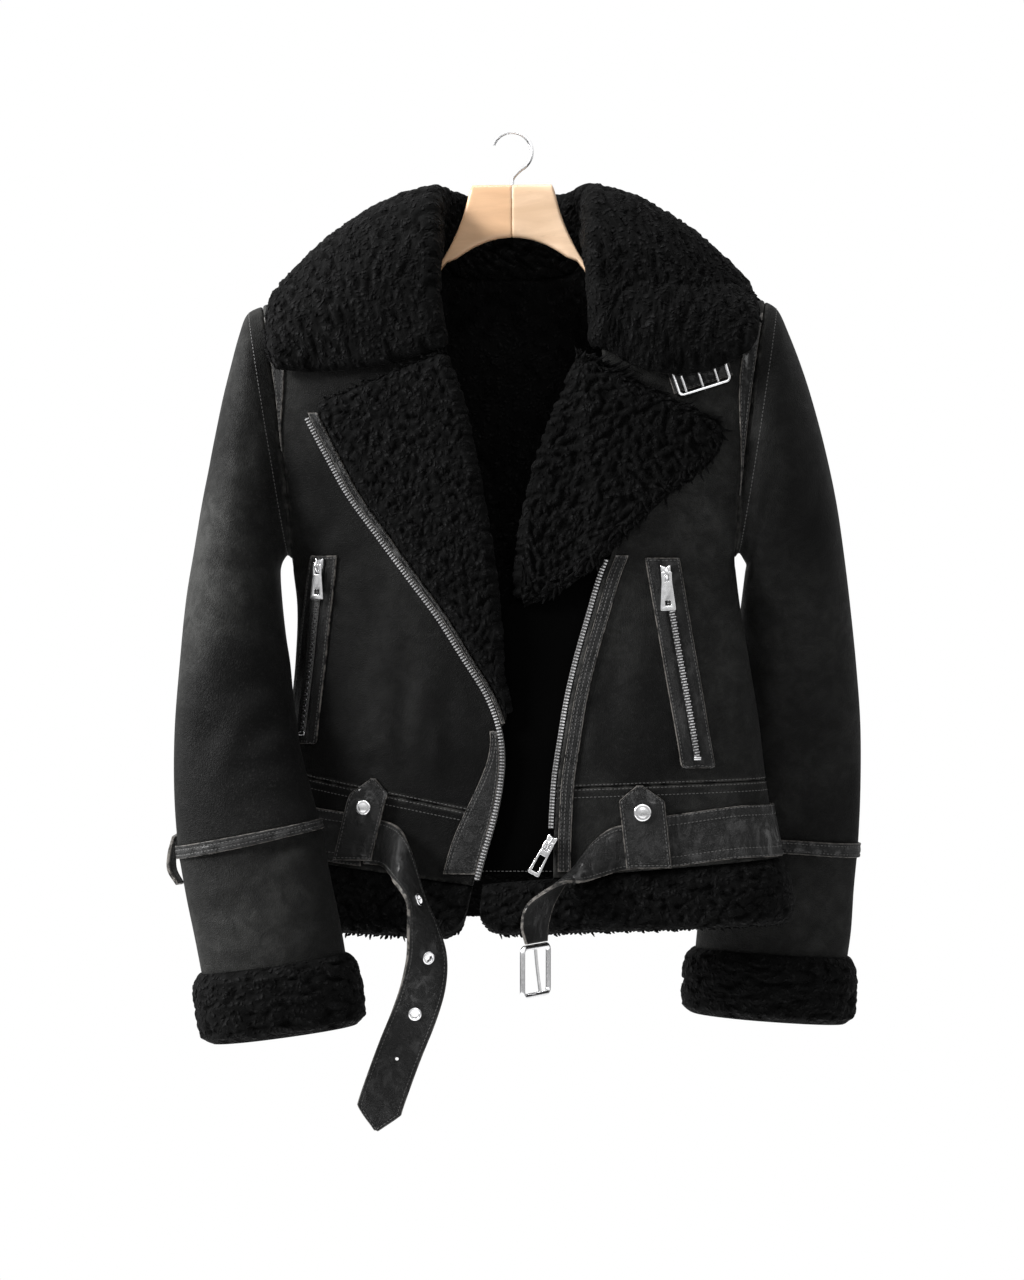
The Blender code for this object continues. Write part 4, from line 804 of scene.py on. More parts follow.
# ---------------------------------------------------------------- finishes
class Field:
    """A shader socket that Python's operators work on; each one adds a Math node."""

    def __init__(self, finish, socket):
        self.finish, self.socket = finish, socket

    def math(self, operation, *values):
        inputs = dict(enumerate(values))
        return self.finish.node("ShaderNodeMath", {"operation": operation}, inputs)

    def __add__(self, other):
        return self.math("ADD", self, other)

    def __mul__(self, other):
        return self.math("MULTIPLY", self, other)

    def __sub__(self, other):
        return self.math("SUBTRACT", self, other)

    def __rsub__(self, other):
        return self.math("SUBTRACT", other, self)

    __radd__, __rmul__ = __add__, __mul__

    def between(self, low, high):
        """0 below low, 1 above high and a smooth slope between."""
        return self.finish.node(
            "ShaderNodeMapRange", {"interpolation_type": "SMOOTHSTEP"},
            {"Value": self, "From Min": low, "From Max": high},
        )


class Finish:
    """A material's nodes: constants go on the Principled shader's own sockets."""

    def __init__(self, name, **constants):
        self.material = bpy.data.materials.new(name + "_look")
        self.material.use_nodes = True
        self.tree = self.material.node_tree
        self.shader = self.tree.nodes["Principled BSDF"]
        for label, value in constants.items():
            self.shader.inputs[label.replace("_", " ")].default_value = value

    def node(self, kind, settings=None, inputs=None, output=0):
        """Any node: its settings first, then its sockets' values or links."""
        made = self.tree.nodes.new(kind)
        for label, value in (settings or {}).items():
            setattr(made, label, value)
        for label, value in (inputs or {}).items():
            if isinstance(value, Field):
                self.tree.links.new(value.socket, made.inputs[label])
            else:
                made.inputs[label].default_value = value
        return Field(self, made.outputs[output])

    def feed(self, label, value):
        self.tree.links.new(value.socket, self.shader.inputs[label])

    def place(self, stretch=(1, 1, 1)):
        """Object coordinates, in metres, scaled along each axis."""
        at = self.node("ShaderNodeTexCoord", output=3)
        return self.node("ShaderNodeMapping", {}, {"Vector": at, "Scale": stretch})

    def coordinate(self, axis):
        at = self.node("ShaderNodeTexCoord", output=3)
        return self.node("ShaderNodeSeparateXYZ", {}, {0: at}, output=axis)

    def noise(self, scale, detail=3.0, rough=0.55, at=None, warp=0.0):
        return self.node("ShaderNodeTexNoise", {}, {
            "Vector": at or self.place(), "Scale": scale, "Detail": detail, "Roughness": rough,
            "Distortion": warp,
        })

    def cells(self, scale, at=None):
        return self.node("ShaderNodeTexVoronoi", {"feature": "DISTANCE_TO_EDGE"},
                         {"Vector": at or self.place(), "Scale": scale})

    def attribute(self, label):
        return self.node("ShaderNodeAttribute", {"attribute_name": label}, output=2)

    def mixed(self, factor, low, high):
        """A colour between two: each the panel's, by name, three numbers, or another mix."""
        def shade(value):
            if isinstance(value, Field):
                return value
            return (*(shade_of(value) if isinstance(value, str) else value), 1)

        return self.node("ShaderNodeMix", {"data_type": "RGBA"},
                         {0: factor, 6: shade(low), 7: shade(high)}, output=2)

    def bump(self, height, distance, strength=1.0, under=None):
        inputs = {"Height": height, "Distance": distance, "Strength": strength}
        if under:
            inputs["Normal"] = under
        return self.node("ShaderNodeBump", {}, inputs)


def painted_light_and_shade_by_place(look):
    """Painted light and shade over the hide's front, as a factor on its paleness: painted light on
    the left sleeve above the elbow, painted shade on the left front, painted light again on the
    right front and painted shade on the right sleeve; none on the back."""
    x, y, z = (look.coordinate(axis) for axis in range(3))
    sleeve = (1 - x.between(-0.20, -0.155)) * z.between(-0.66, -0.56) * 1.1
    fronts = x.between(-0.20, -0.155) * -0.6 + x.between(-0.03, 0.06) * 1.0
    front = sleeve + fronts - x.between(0.17, 0.215) * 0.85
    return 1 + (1 - y.between(0.0, 0.05)) * front


def suede_black():
    """Matt hide: a fine grain, cloudy nap, wear that pales its borders, and painted light and shade
    that differ by place on the front.
    """
    look = Finish("suede_black", Sheen_Weight=0.01, Sheen_Roughness=0.4, Specular_IOR_Level=0.08)
    cloud = look.noise(6.0, 3.0, 0.5, at=look.place((1, 1, 0.7)), warp=0.3)
    nap = look.noise(75.0, 6.0, 0.70, warp=0.5)
    speck = look.noise(430.0, 3.0, 0.7)
    border = 1 - look.attribute("edge").between(0.4, 4.6)
    wear = border * look.noise(120.0, 3.0).between(0.35, 0.7)
    pale = cloud.between(0.28, 0.72) * (0.45 + nap.between(0.36, 0.70) * 0.55)
    pale = pale + speck.between(0.5, 0.78) * 0.22
    # painted light and shade: the hide's cloud is paler on the left upper sleeve and right front,
    # darker on the left front and right sleeve
    base = look.mixed(pale * painted_light_and_shade_by_place(look), "hide_dark", "hide_pale")
    look.feed("Base Color", look.mixed(wear * 0.55, base, "hide_worn"))
    look.feed("Roughness", 0.72 - nap * 0.30 + speck * 0.12)
    grain = look.bump(look.cells(520.0).between(0.0, 0.3), 0.0003, 0.8)
    look.feed("Normal", look.bump(nap * 0.6 + speck * 0.4, 0.0013, 0.75, under=grain))
    return look.material


def leather_black():
    """Smooth strap leather: pebbled grain, a waxy gloss, and paler edges that are partly rubbed and
    partly a painted highlight.
    """
    look = Finish("leather_black", Specular_IOR_Level=0.22, Coat_Roughness=0.16)
    patch = look.noise(70.0, 4.0, 0.6)
    grain = look.cells(700.0, at=look.place((1, 1, 0.8)))
    # paler border: partly rubbed leather, partly a painted highlight along the rounded edge
    border = 1 - look.attribute("edge").between(0.15, 1.2)
    rub_and_highlight = border * look.noise(180.0, 2.0).between(0.3, 0.62)
    base = look.mixed(patch.between(0.4, 0.75), "strap_dark", "strap_pale")
    look.feed("Base Color", look.mixed(rub_and_highlight, base, "strap_edge_and_highlight"))
    look.feed("Roughness", 0.24 + patch * 0.36)
    streak = look.noise(85.0, 5.0, 0.66, at=look.place((1, 1, 0.6)), warp=1.2)
    look.feed("Coat Weight", streak.between(0.46, 0.66) * 0.75)
    wrinkle = look.bump(look.noise(110.0, 6.0, 0.72, warp=1.6), 0.0026, 0.9)
    look.feed("Normal", look.bump(grain.between(0.0, 0.22), 0.0003, 0.7, under=wrinkle))
    return look.material


def leather_shaded():
    """The soft leather of the inner flap as a shaded copy: painted shade makes it deeper black, and
    it has no gloss.
    """
    look = Finish("leather_shaded", Specular_IOR_Level=0.02)
    nap = look.noise(90.0, 4.0, 0.6)
    # painted shade: the flap's colour runs from the painted shade black up to the strap leather's
    # darkest
    look.feed("Base Color", look.mixed(nap, "wool_deep", "strap_dark"))
    look.feed("Roughness", 0.75 + nap * 0.2)
    look.feed("Normal", look.bump(nap, 0.0006, 0.5))
    return look.material


def wool_black():
    """Curly wool: small warped curls with painted shade in the valleys between them, over the
    modelled locks, whose tips get a painted highlight by their height; fine strands run through it."""
    look = Finish("wool_black", Sheen_Weight=0.004, Sheen_Roughness=0.5, Specular_IOR_Level=0.05)
    lift = look.attribute("lift")
    at = look.place()
    swirl = look.node(
        "ShaderNodeTexNoise", {}, {"Vector": at, "Scale": 70.0, "Detail": 3.0}, output=1
    )
    warped = look.node("ShaderNodeVectorMath", {"operation": "MULTIPLY_ADD"},
                       {0: swirl, 1: (0.011, 0.011, 0.011), 2: at})
    curl = look.node("ShaderNodeTexVoronoi", {"feature": "SMOOTH_F1"},
                     {"Vector": warped, "Scale": 230.0, "Smoothness": 0.35, "Randomness": 1.0})
    # painted shade: each curl and each clump darkens towards its edge
    puff = 1 - curl.between(0.10, 0.58)
    clump = look.cells(85.0, at=warped)
    puff = puff * (0.3 + clump.between(0.0, 0.16) * 0.7)
    strand = look.noise(900.0, 4.0, 0.7, warp=2.5)
    tone = look.noise(24.0, 2.0)
    # painted light: the wool is paler where locks stand high and curls swell and darker in the
    # valleys; strands and tone vary it at random
    painted_light_and_tone = (0.25 + puff * 0.75) * (0.06 + lift.between(0.28, 0.85) * 0.94)
    painted_light_and_tone = painted_light_and_tone * (0.55 + strand.between(0.35, 0.7) * 0.6) * (0.4 + tone)
    look.feed("Base Color", look.mixed(painted_light_and_tone, "wool_deep", "wool_tip"))
    look.feed("Roughness", 0.80 - painted_light_and_tone * 0.30)
    fine = look.bump(strand, 0.0006, 0.6)
    look.feed("Normal", look.bump(puff, 0.0030, 1.0, under=fine))
    return look.material


def metal_silver():
    """Polished silver plate with faint wiping marks."""
    look = Finish("metal_silver", Metallic=1.0)
    haze = look.noise(300.0, 4.0, 0.6)
    base = look.mixed(haze.between(0.3, 0.8), "silver_dark", "silver")
    look.feed("Base Color", base)
    look.feed("Roughness", 0.14 + haze * 0.12)
    wiped = look.noise(900.0, 2.0, at=look.place((1, 1, 0.2)))
    look.feed("Normal", look.bump(wiped, 0.00004, 0.5))
    return look.material


def wood_of(name, dark, pale):
    """Lacquered beech: long pale bands along the arm with short darker flecks."""
    look = Finish(name, Coat_Weight=0.25, Coat_Roughness=0.25)
    long_grain = look.noise(55.0, 5.0, 0.62, at=look.place((0.18, 1, 1)), warp=0.5)
    fleck = look.noise(420.0, 3.0, 0.7, at=look.place((0.12, 1, 1)))
    shade = look.mixed(long_grain.between(0.3, 0.72), dark, pale)
    spot = tuple(0.72 * c for c in dark)
    look.feed("Base Color", look.mixed(fleck.between(0.62, 0.78) * 0.35, shade, spot))
    look.feed("Roughness", 0.34 + long_grain * 0.2)
    look.feed("Normal", look.bump(fleck, 0.0001, 0.4))
    return look.material


def wood_pale():
    return wood_of("wood_pale", shade_of("wood_pale_dark"), "wood_pale")


def wood_warm():
    return wood_of("wood_warm", shade_of("wood_warm_dark"), "wood_warm")


def thread_black():
    """Waxed thread with a fine twist."""
    look = Finish("thread_black", Sheen_Weight=0.2)
    twist = look.noise(1500.0, 2.0)
    look.feed("Base Color", look.mixed(twist, "thread_dark", "thread"))
    look.feed("Roughness", 0.5 + twist * 0.2)
    return look.material


def tape_black():
    """Woven zip tape: fine ribs across it."""
    look = Finish("tape_black", Sheen_Weight=0.2)
    rib = look.noise(1100.0, 2.0, at=look.place((1, 1, 1.6)))
    look.feed("Base Color", look.mixed(rib, "strap_dark", "thread"))
    look.feed("Roughness", 0.7 + rib * 0.2)
    look.feed("Normal", look.bump(rib, 0.0002, 0.5))
    return look.material


def floor_pale():
    look = Finish("floor_pale", Emission_Strength=0.5)
    look.shader.inputs["Emission Color"].default_value = (1, 1, 1, 1)
    tone = look.noise(2.0, 2.0)
    look.feed("Base Color", look.mixed(tone, (0.80, 0.80, 0.80), (0.84, 0.84, 0.84)))
    look.feed("Roughness", 0.7 + tone * 0.1)
    return look.material


def of_size(name):
    """A size of the panel in mm."""
    return getattr(bpy.context.scene.jacket_sizes, name) / MM


def shade_of(name):
    """A colour of the panel as three numbers."""
    return tuple(getattr(bpy.context.scene.jacket_colours, name))


def finished(name):
    """The material of this name, made on its first use."""
    return bpy.data.materials.get(name + "_look") or FINISHES[name]()


FINISHES = {make.__name__: make for make in (
    suede_black, leather_black, leather_shaded, wool_black, metal_silver, wood_pale, wood_warm,
    thread_black, tape_black, floor_pale,
)}


# ---------------------------------------------------------------- hanger
HANGER_THICK = 14.0
Arm = namedtuple("Arm", "x top foot")
HANGER_HALF = [
    Arm(0, -44, -89), Arm(20, -44, -96.5), Arm(35.5, -44, -102.3), Arm(37, -52, -102.8),
    Arm(41, -68, -104.3), Arm(47, -84, -106.5), Arm(56, -102, -109.9), Arm(62, -112, -117.5),
    Arm(68, -112.5, -132.5), Arm(100, -120, -141), Arm(150, -134.5, -156), Arm(184, -145, -167),
    Arm(196, -149.5, -169.5),
]
HANGER_END, CROWN_END = 196.0, 47.0     # the arm's end and the end of the crown's arch
ARCH_TOP, ARCH_RISE = -89.0, 17.5
HOOK_WIRE, HOOK_BEND = 1.7, 17.0


def rounded_section(count, power=5.0):
    """Points round a unit superellipse, as (across, up)."""
    angle = turns(count)
    c, s = np.cos(angle), np.sin(angle)
    grow = (np.abs(c) ** power + np.abs(s) ** power) ** (-1 / power)
    return c * grow, s * grow


def lofted(name, rings, finish, rides="jacket"):
    """A solid through closed rings, (rows, around, 3), its ends closed with a face each."""
    rows, around = rings.shape[:2]
    mesh = new_mesh(name, rings, ring_quads(rows, around))
    seal(mesh, around)
    return add_piece(name, mesh, finish, rides)


def make_hanger():
    """The two wooden halves: rounded sections along the arm, with an arch under the crown."""
    for name, sign, finish in (("hanger_left", -1, "wood_warm"), ("hanger_right", 1, "wood_pale")):
        knots = column(HANGER_HALF, "x")
        x = np.unique(np.concatenate([
            np.linspace(0, 30, 12), np.linspace(30, 70, 60), np.linspace(70, HANGER_END, 60),
        ]))
        inside = x[(x > 1.6) & (x < HANGER_END - 1)]
        x = np.concatenate([[0.0, 0.3, 0.9], inside, [195.2, 195.8, HANGER_END]])
        top = np.interp(x, knots, column(HANGER_HALF, "top"))
        foot = np.interp(x, knots, column(HANGER_HALF, "foot"))
        soft = np.convolve(np.pad(top, 3, mode="edge"), np.ones(7) / 7, "valid")
        top = np.where(x > 30, soft, top)
        arch = ARCH_TOP - ARCH_RISE * (np.minimum(x, CROWN_END) / CROWN_END) ** 2
        foot = np.where(x < CROWN_END, arch, foot)
        ease = 1 - 0.09 * np.clip(1 - np.minimum(x, HANGER_END - x), 0, 1) ** 2
        across, up = rounded_section(40)
        wide = HANGER_THICK / 2 * ease[:, None] * across
        middle, half = (top + foot) / 2, (top - foot) / 2
        place = sign * (x + SEAM / 2)
        rings = np.stack(
            [
                np.broadcast_to(place[:, None], wide.shape),
                turned(place)[:, None] + wide,
                middle[:, None] + (half - 0.8 * (1 - ease) * 10)[:, None] * up,
            ],
            axis=-1,
        )
        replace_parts(lofted(name + "_wood", rings, finish), name)


def wire(name, points, radius, up, rides="jacket", cyclic=False, around=14):
    """A round metal wire: a ring carried along a line of points, square to it."""
    points = np.asarray(points, float)
    if cyclic:
        ahead, behind = np.roll(points, -1, axis=0), np.roll(points, 1, axis=0)
    else:
        ahead = np.concatenate([points[1:], points[-1:]])
        behind = np.concatenate([points[:1], points[:-1]])
    along = unit(ahead - behind)
    side = unit(np.cross(along, np.asarray(up, float)))
    over = np.cross(side, along)
    angle = turns(around)
    rings = points[:, None] + radius * (
        np.cos(angle)[None, :, None] * side[:, None] + np.sin(angle)[None, :, None] * over[:, None]
    )
    if not cyclic:
        return lofted(name, rings, "metal_silver", rides)
    mesh = new_mesh(name, rings, ring_quads(len(points), around, joined=True))
    return add_piece(name, mesh, "metal_silver", rides)


def make_hook():
    """The hook: an arc round the rail, and a stem bent back to the middle."""
    middle = -HOOK_BEND + HOOK_WIRE
    angle = np.radians(np.linspace(160, -62, 60))
    bend = [HOOK_BEND * np.cos(angle), 0 * angle, middle + HOOK_BEND * np.sin(angle)]
    bend = np.stack(bend, axis=-1)
    stem = smooth_line([bend[-1], (3.0, 0, -35.0), (0.6, 0, -38.5), (0, 0, -44 + SEAM)], 16)
    hook = wire("hook_wire", np.concatenate([bend, stem[1:]]), HOOK_WIRE, (0, 1, 0))
    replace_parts(hook, "hanger_hook")


def smooth_line(points, count):
    """Points at even steps on a cubic through the given ones."""
    points = np.asarray(points, float)
    knots = np.concatenate([[0], np.cumsum(np.linalg.norm(np.diff(points, axis=0), axis=-1))])
    at = np.linspace(0, knots[-1], count)
    return by_columns(smooth, at, knots, points)


# ---------------------------------------------------------------- body panels
def dense_heights(side_end, centre_end, centre_start, arm_rows=54, low_rows=50):
    """Matching heights at the side and at the centre of a front, from the shoulder down."""
    arm = arm_heights(arm_rows)
    share = (TIP_Z - arm) / (TIP_Z - UNDERARM_Z)
    below = shares(low_rows, UNDERARM_Z - side_end)
    below = below[np.concatenate([[False], below[1:] > 0.02])]
    side = np.concatenate([arm, UNDERARM_Z + below * (side_end - UNDERARM_Z)])
    centre = np.concatenate([
        centre_start + share * (UNDERARM_Z - centre_start),
        UNDERARM_Z + below * (centre_end - UNDERARM_Z),
    ])
    return side, centre


def make_front(side_name):
    """A front panel from the shoulder seam to the waist, and its line of stitches."""
    left = side_name == "left"
    seam = WAIST[side_name]
    side, centre = dense_heights(seam.side + GAP, seam.centre + GAP, NECK_Z)
    edge = centre_left(centre) if left else edge_x(ZIP_RIGHT, centre)
    centre[0] = shoulder_line(edge[0])
    x, z = ruled((edge, centre), (side_x(side, -1 if left else 1), side), shares(52, 190))
    front = on_torso(f"front_{side_name}_hide", x, z, -1, -HIDE, 0, SHEARLING, cloth="hung")
    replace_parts(front.object, "front_" + side_name)
    return border_lines(front, 3.0, "foot")


SHEARLING = ("suede_black", "wool_black")   # a hide's outside and inside
BACK_SKIN = HIDE - 1.4                      # the back's skin, without the lining's wool


def side_to_side(share, z):
    """x of points at a share, -1 to 1, of the way from side to side at each height."""
    return np.where(share < 0, -side_x(z, -1)[:, None] * share, side_x(z, 1)[:, None] * share)


def back_grid(top_of, foot, columns, arm_rows, low_rows):
    heights = dense_heights(foot, foot, NECK_Z, arm_rows, low_rows)[0]
    share = shares(columns, 400) * 2 - 1
    down = ((TIP_Z - heights) / (TIP_Z - foot))[:, None]
    return side_to_side(share, heights), top_of(share) * (1 - down) + foot * down


def back_top(share):
    """The back's upper edge: the shoulder line, less the scoop at the neck."""
    neck = BACK_NECK_DROP * np.sqrt(np.clip(1 - (share * TIP_X / NECK_X) ** 2, 0, None))
    return shoulder_line(share * TIP_X) - neck


def make_back():
    """The back's skin, and the wool inside it, which rises a little higher at the neck."""
    foot = WAIST["back"].side + GAP
    x, z = back_grid(back_top, foot, 92, 50, 42)
    back = on_torso("back_hide", x, z, 1, -BACK_SKIN, 0, "suede_black", cloth="hung")
    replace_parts(back.object, "back_panel")

    def lining_top(share):
        return back_top(share) + 5 * (np.abs(share * TIP_X) < NECK_X - 4)

    x, z = back_grid(lining_top, foot, 90, 44, 36)
    base, normal = body(x, z, 1, -BACK_SKIN - 0.1)
    fleece("back_lining_wool", base, -normal, 6.0, TIGHT_CURL, 11, deep=3.4, roll=3.0)
    return border_lines(back, 3.0, "foot")


def repeat_columns(heights, columns):
    """Heights of rows, once for each of the columns."""
    return np.repeat(heights[:, None], len(columns), axis=1)


def band_grid(where, top, foot, rows, columns):
    """x, z of a strip round the torso between two of its cross seams."""
    share = shares(rows, 60)
    side = top[where].side - GAP + share * (foot[where].side + GAP - top[where].side + GAP)
    centre = top[where].centre - GAP + share * (foot[where].centre + GAP - top[where].centre + GAP)
    if where == "back":
        spread = shares(columns, 400) * 2 - 1
        return side_to_side(spread, side), repeat_columns(side, spread)
    spread = shares(columns, 200)
    if where == "left":
        return ruled((centre_left(centre), centre), (side_x(side, -1), side), spread)
    if top is HEM:
        spread = HEM_UNDER_REACH + (1 - HEM_UNDER_REACH) * spread
    return ruled((edge_x(ZIP_RIGHT, centre), centre), (side_x(side, 1), side), spread)


HEM_CORNER = 24.0                           # radius of the wool's foot corner at the front edge
HEM_UNDER_REACH = -0.31                     # the right hem runs on, under the left front
HEM_SWELL = [1.0, 6.5, 8.0, 7.5, 3.0]       # how far the hem's wool stands out, top to foot


def make_waistband(where):
    """A part of the waistband, with two lines of stitches under its upper seam."""
    facing = 1 if where == "back" else -1
    x, z = band_grid(where, WAIST, HEM, 18, 56 if where != "back" else 96)
    name = "waistband_" + where
    band = on_torso(name + "_hide", x, z, facing, -HIDE, 0, SHEARLING, cloth="hung")
    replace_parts(band.object, name)
    return border_lines(band, 3.2, "top") + border_lines(band, 9.5, "top")


def make_hem(where, seed):
    """The hem's turned-up wool: its swell is read from the table between seam and foot."""
    facing = 1 if where == "back" else -1
    x, z = band_grid(where, HEM, FOOT, 44, 146 if where != "back" else 240)
    down = np.linspace(0, 1, x.shape[0])
    if where != "back":
        reach = np.clip(1 - np.abs(x - x[:, :1]) / HEM_CORNER, 0, 1)
        z = z + down[:, None] ** 2 * 0.8 * HEM_CORNER * (1 - np.sqrt(1 - reach**2))
    base, normal = body(x, z, facing, -HIDE)
    swell = smooth(down, np.linspace(0, 1, len(HEM_SWELL)), HEM_SWELL)[:, None] + HIDE + 1.2
    made = fleece("hem_wool_" + where, base, normal, swell, TIGHT_CURL, seed, roll=7.0)
    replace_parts(made.object, "hem_fur_" + where)
    return made


UNDERLAP_SINK = 6.8     # how far the wind flap lies behind the torso's outer face
UNDERLAP_EDGE = -27.0
UNDERLAP_TUCK = 9.0     # how far it reaches behind the right front


def make_underlap():
    """The wind flap behind the right front, from the roll line to the hem."""
    low_end = HEM["right"].centre + 3
    z = np.concatenate([np.linspace(-197, -404, 60), np.linspace(-412, low_end, 64)])
    left = np.where(z > -408, edge_x(ROLL_RIGHT, z) + roll_inset(z, FUR + SEAM), UNDERLAP_EDGE)
    right = edge_x(ZIP_RIGHT, z) + UNDERLAP_TUCK
    x, z = ruled((left, z), (right, z), shares(14, 70))
    flap = on_torso("wind_flap", x, z, -1, -UNDERLAP_SINK - BELT, -UNDERLAP_SINK, "leather_shaded",
                    cloth="hung")
    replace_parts(flap.object, "underlap_right")
    return border_lines(flap, 3.0, "foot")


# ---------------------------------------------------------------- lapels
STRIP_LEFT = 14.0       # leather border between the left lapel's fur and its zip


def lapel_grid(rolled, outline, toward, sink, columns):
    """Base and normals of a lapel: its first columns wrap the front's edge, the rest lie on it."""
    x, z = ruled(rolled, outline, columns)
    low = sink(x, z)
    base, normal = body(x, z, -1, low)
    facing = np.array([toward, 0.0, 0.0])
    edge_base, edge_normal = body(x[:, :1], z[:, :1], -1, low[:, :1])
    wrapped, turned_out = [], []
    for part in np.linspace(0, 1, 9)[:-1]:
        inward = (HIDE - 1.0) * (1 - part) + 0.15 * part
        turn = 1 - part**3
        tilt = turn * facing + (1 - turn) * edge_normal
        wrapped.append(edge_base - inward * edge_normal + 0.9 * turn * facing)
        turned_out.append(unit(tilt))
    return np.concatenate(wrapped + [base], axis=1), np.concatenate(turned_out + [normal], axis=1)


def thinned(count):
    return np.unique(np.append(np.arange(0, count, 3), count - 1))


def under_wool(name, base, normal):
    """The leather under a piece's wool, on every third row and column of its grid."""
    rows, columns = thinned(base.shape[0]), thinned(base.shape[1])
    base, normal = base[rows][:, columns], normal[rows][:, columns]
    return wall(name, base + 1.3 * normal, base, "suede_black")


def folded_wool(name, base, normal, height, curl, seed, **options):
    """A folded piece's skin as a thin sheet, and its wool on it."""
    skin = under_wool(name + "_skin", base, normal)
    wool = fleece(name + "_wool", base + WOOL_OUT * normal, normal, height - WOOL_OUT, curl, seed,
                  **options)
    declare_sheet(base)
    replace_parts(skin.object, name)
    return wool


def make_left_lapel():
    """The left lapel's wool, from the roll line to the strip beside the zip."""
    share = np.linspace(0, 1, 180)
    roll_z = -193 + share * (-497 + 193)
    edge_z = -234 + share * (-503 + 234)
    edge_at = edge_x(ZIP_LEFT, edge_z) + STRIP_LEFT * (1 - 0.35 * share) + 1
    base, normal = lapel_grid(
        (centre_left(roll_z) + SEAM, roll_z), (edge_at, edge_z), 1,
        lambda x, z: np.full_like(x, REST + 0.4), shares(82, 140),
    )
    height = (FUR - 5.5 * step(share, 0.72, 1))[:, None]
    return folded_wool("lapel_left", base, normal, height, TIGHT_CURL, 21)


def make_right_lapel():
    """The right lapel's wool, from the roll line out over the front to its point."""
    share = np.linspace(0, 1, 165)
    roll_z = -196 + share * (-400 + 196)
    knots = np.linspace(0, 1, len(LAPEL_EDGE_RIGHT))
    edge = [smooth(share, knots, column(LAPEL_EDGE_RIGHT, axis)) for axis in ("x", "z")]

    def sink(x, z):
        under = edge_x(ZIP_RIGHT, z)
        return -UNDERLAP_SINK + REST + 0.5 + UNDERLAP_SINK * step(x, under - 34, under - 12)

    roll = edge_x(ROLL_RIGHT, roll_z) + roll_inset(roll_z, FUR + SEAM)
    base, normal = lapel_grid((roll, roll_z), edge, -1, sink, shares(96, 170))
    return folded_wool("lapel_right", base, normal, FUR + 0.6, LONG_CURL, 31)


def fringe(name, grid, border, seed, length, thick, pitch, tuck, spread=0.5):
    """Locks along a wool grid's border, pointing off it."""
    line, out = inset_line(grid, border, tuck)
    outside, _ = inset_line(grid, border, 0.5)
    point, _, up = resampled(line, out, pitch)
    edge_point = resampled(outside, out, pitch)[0]
    count = min(len(point), len(edge_point))
    point, up, away = point[:count], up[:count], (edge_point[:count] - point[:count])
    away = unit(away - (away * up).sum(axis=-1, keepdims=True) * up)
    random = np.random.default_rng(seed)
    point = point - random.uniform(0.2, 1.8, (count, 1)) * up
    away = unit(away - random.uniform(0.0, spread, (count, 1)) * up)
    return tufts(name, point, away, up, length, thick, seed)


# ---------------------------------------------------------------- collar
COLLAR_CLEAR = 3.6      # least space between the fall and the torso
BUCKLE_ROOM = 5.0       # more space over the throat buckle
COLLAR_STAND = 33       # columns of the collar's stand
# The collar's leather side: where its stand starts, its fold, and the edge of its fall.
Station = namedtuple(
    "Station", "foot_x foot_y foot_z fold_x fold_y fold_z edge_x edge_y edge_z lift"
)
COLLAR = {
    "left": [
        Station(-60.5, -46, -190, -62, -57, -190, -201, -34, -205, -9),
        Station(-68.6, -40, -148, -69.6, -51, -144, -207, -32, -190, 8),
        Station(-68, -25, -114, -69.4, -40, -100, -208, -18, -166, 14),
        Station(-68, 6.5, -101, -69, -14, -62, -203, 0, -146, 17),
        Station(-65.5, 24, -103.5, -66, 16, -50, -180, 34, -130, 16),
        Station(-50, 42, -119, -50, 38, -54, -122, 62, -138, 12),
        Station(-26, 45.5, -122.6, -26, 46, -57, -58, 76, -152, 10),
    ],
    "right": [
        Station(73, -55, -190, 74, -66, -190, 200, -66, -192, -24),
        Station(72, -50, -148, 73, -62, -144, 207, -54, -178, 6),
        Station(69.4, -38, -114, 71, -52, -100, 207, -36, -156, 14),
        Station(67.0, -7, -101, 70, -26, -62, 200, -20, -140, 17),
        Station(65.5, 11, -103.5, 67, 6, -50, 180, 14, -128, 16),
        Station(50, 32.5, -119, 51, 30, -54, 122, 50, -136, 12),
        Station(26, 40.5, -122.6, 27, 42, -57, 58, 70, -152, 10),
    ],
}
NAPE = Station(0, 44, -122.6, 0, 46.5, -58, 0, 80, -157, 10)


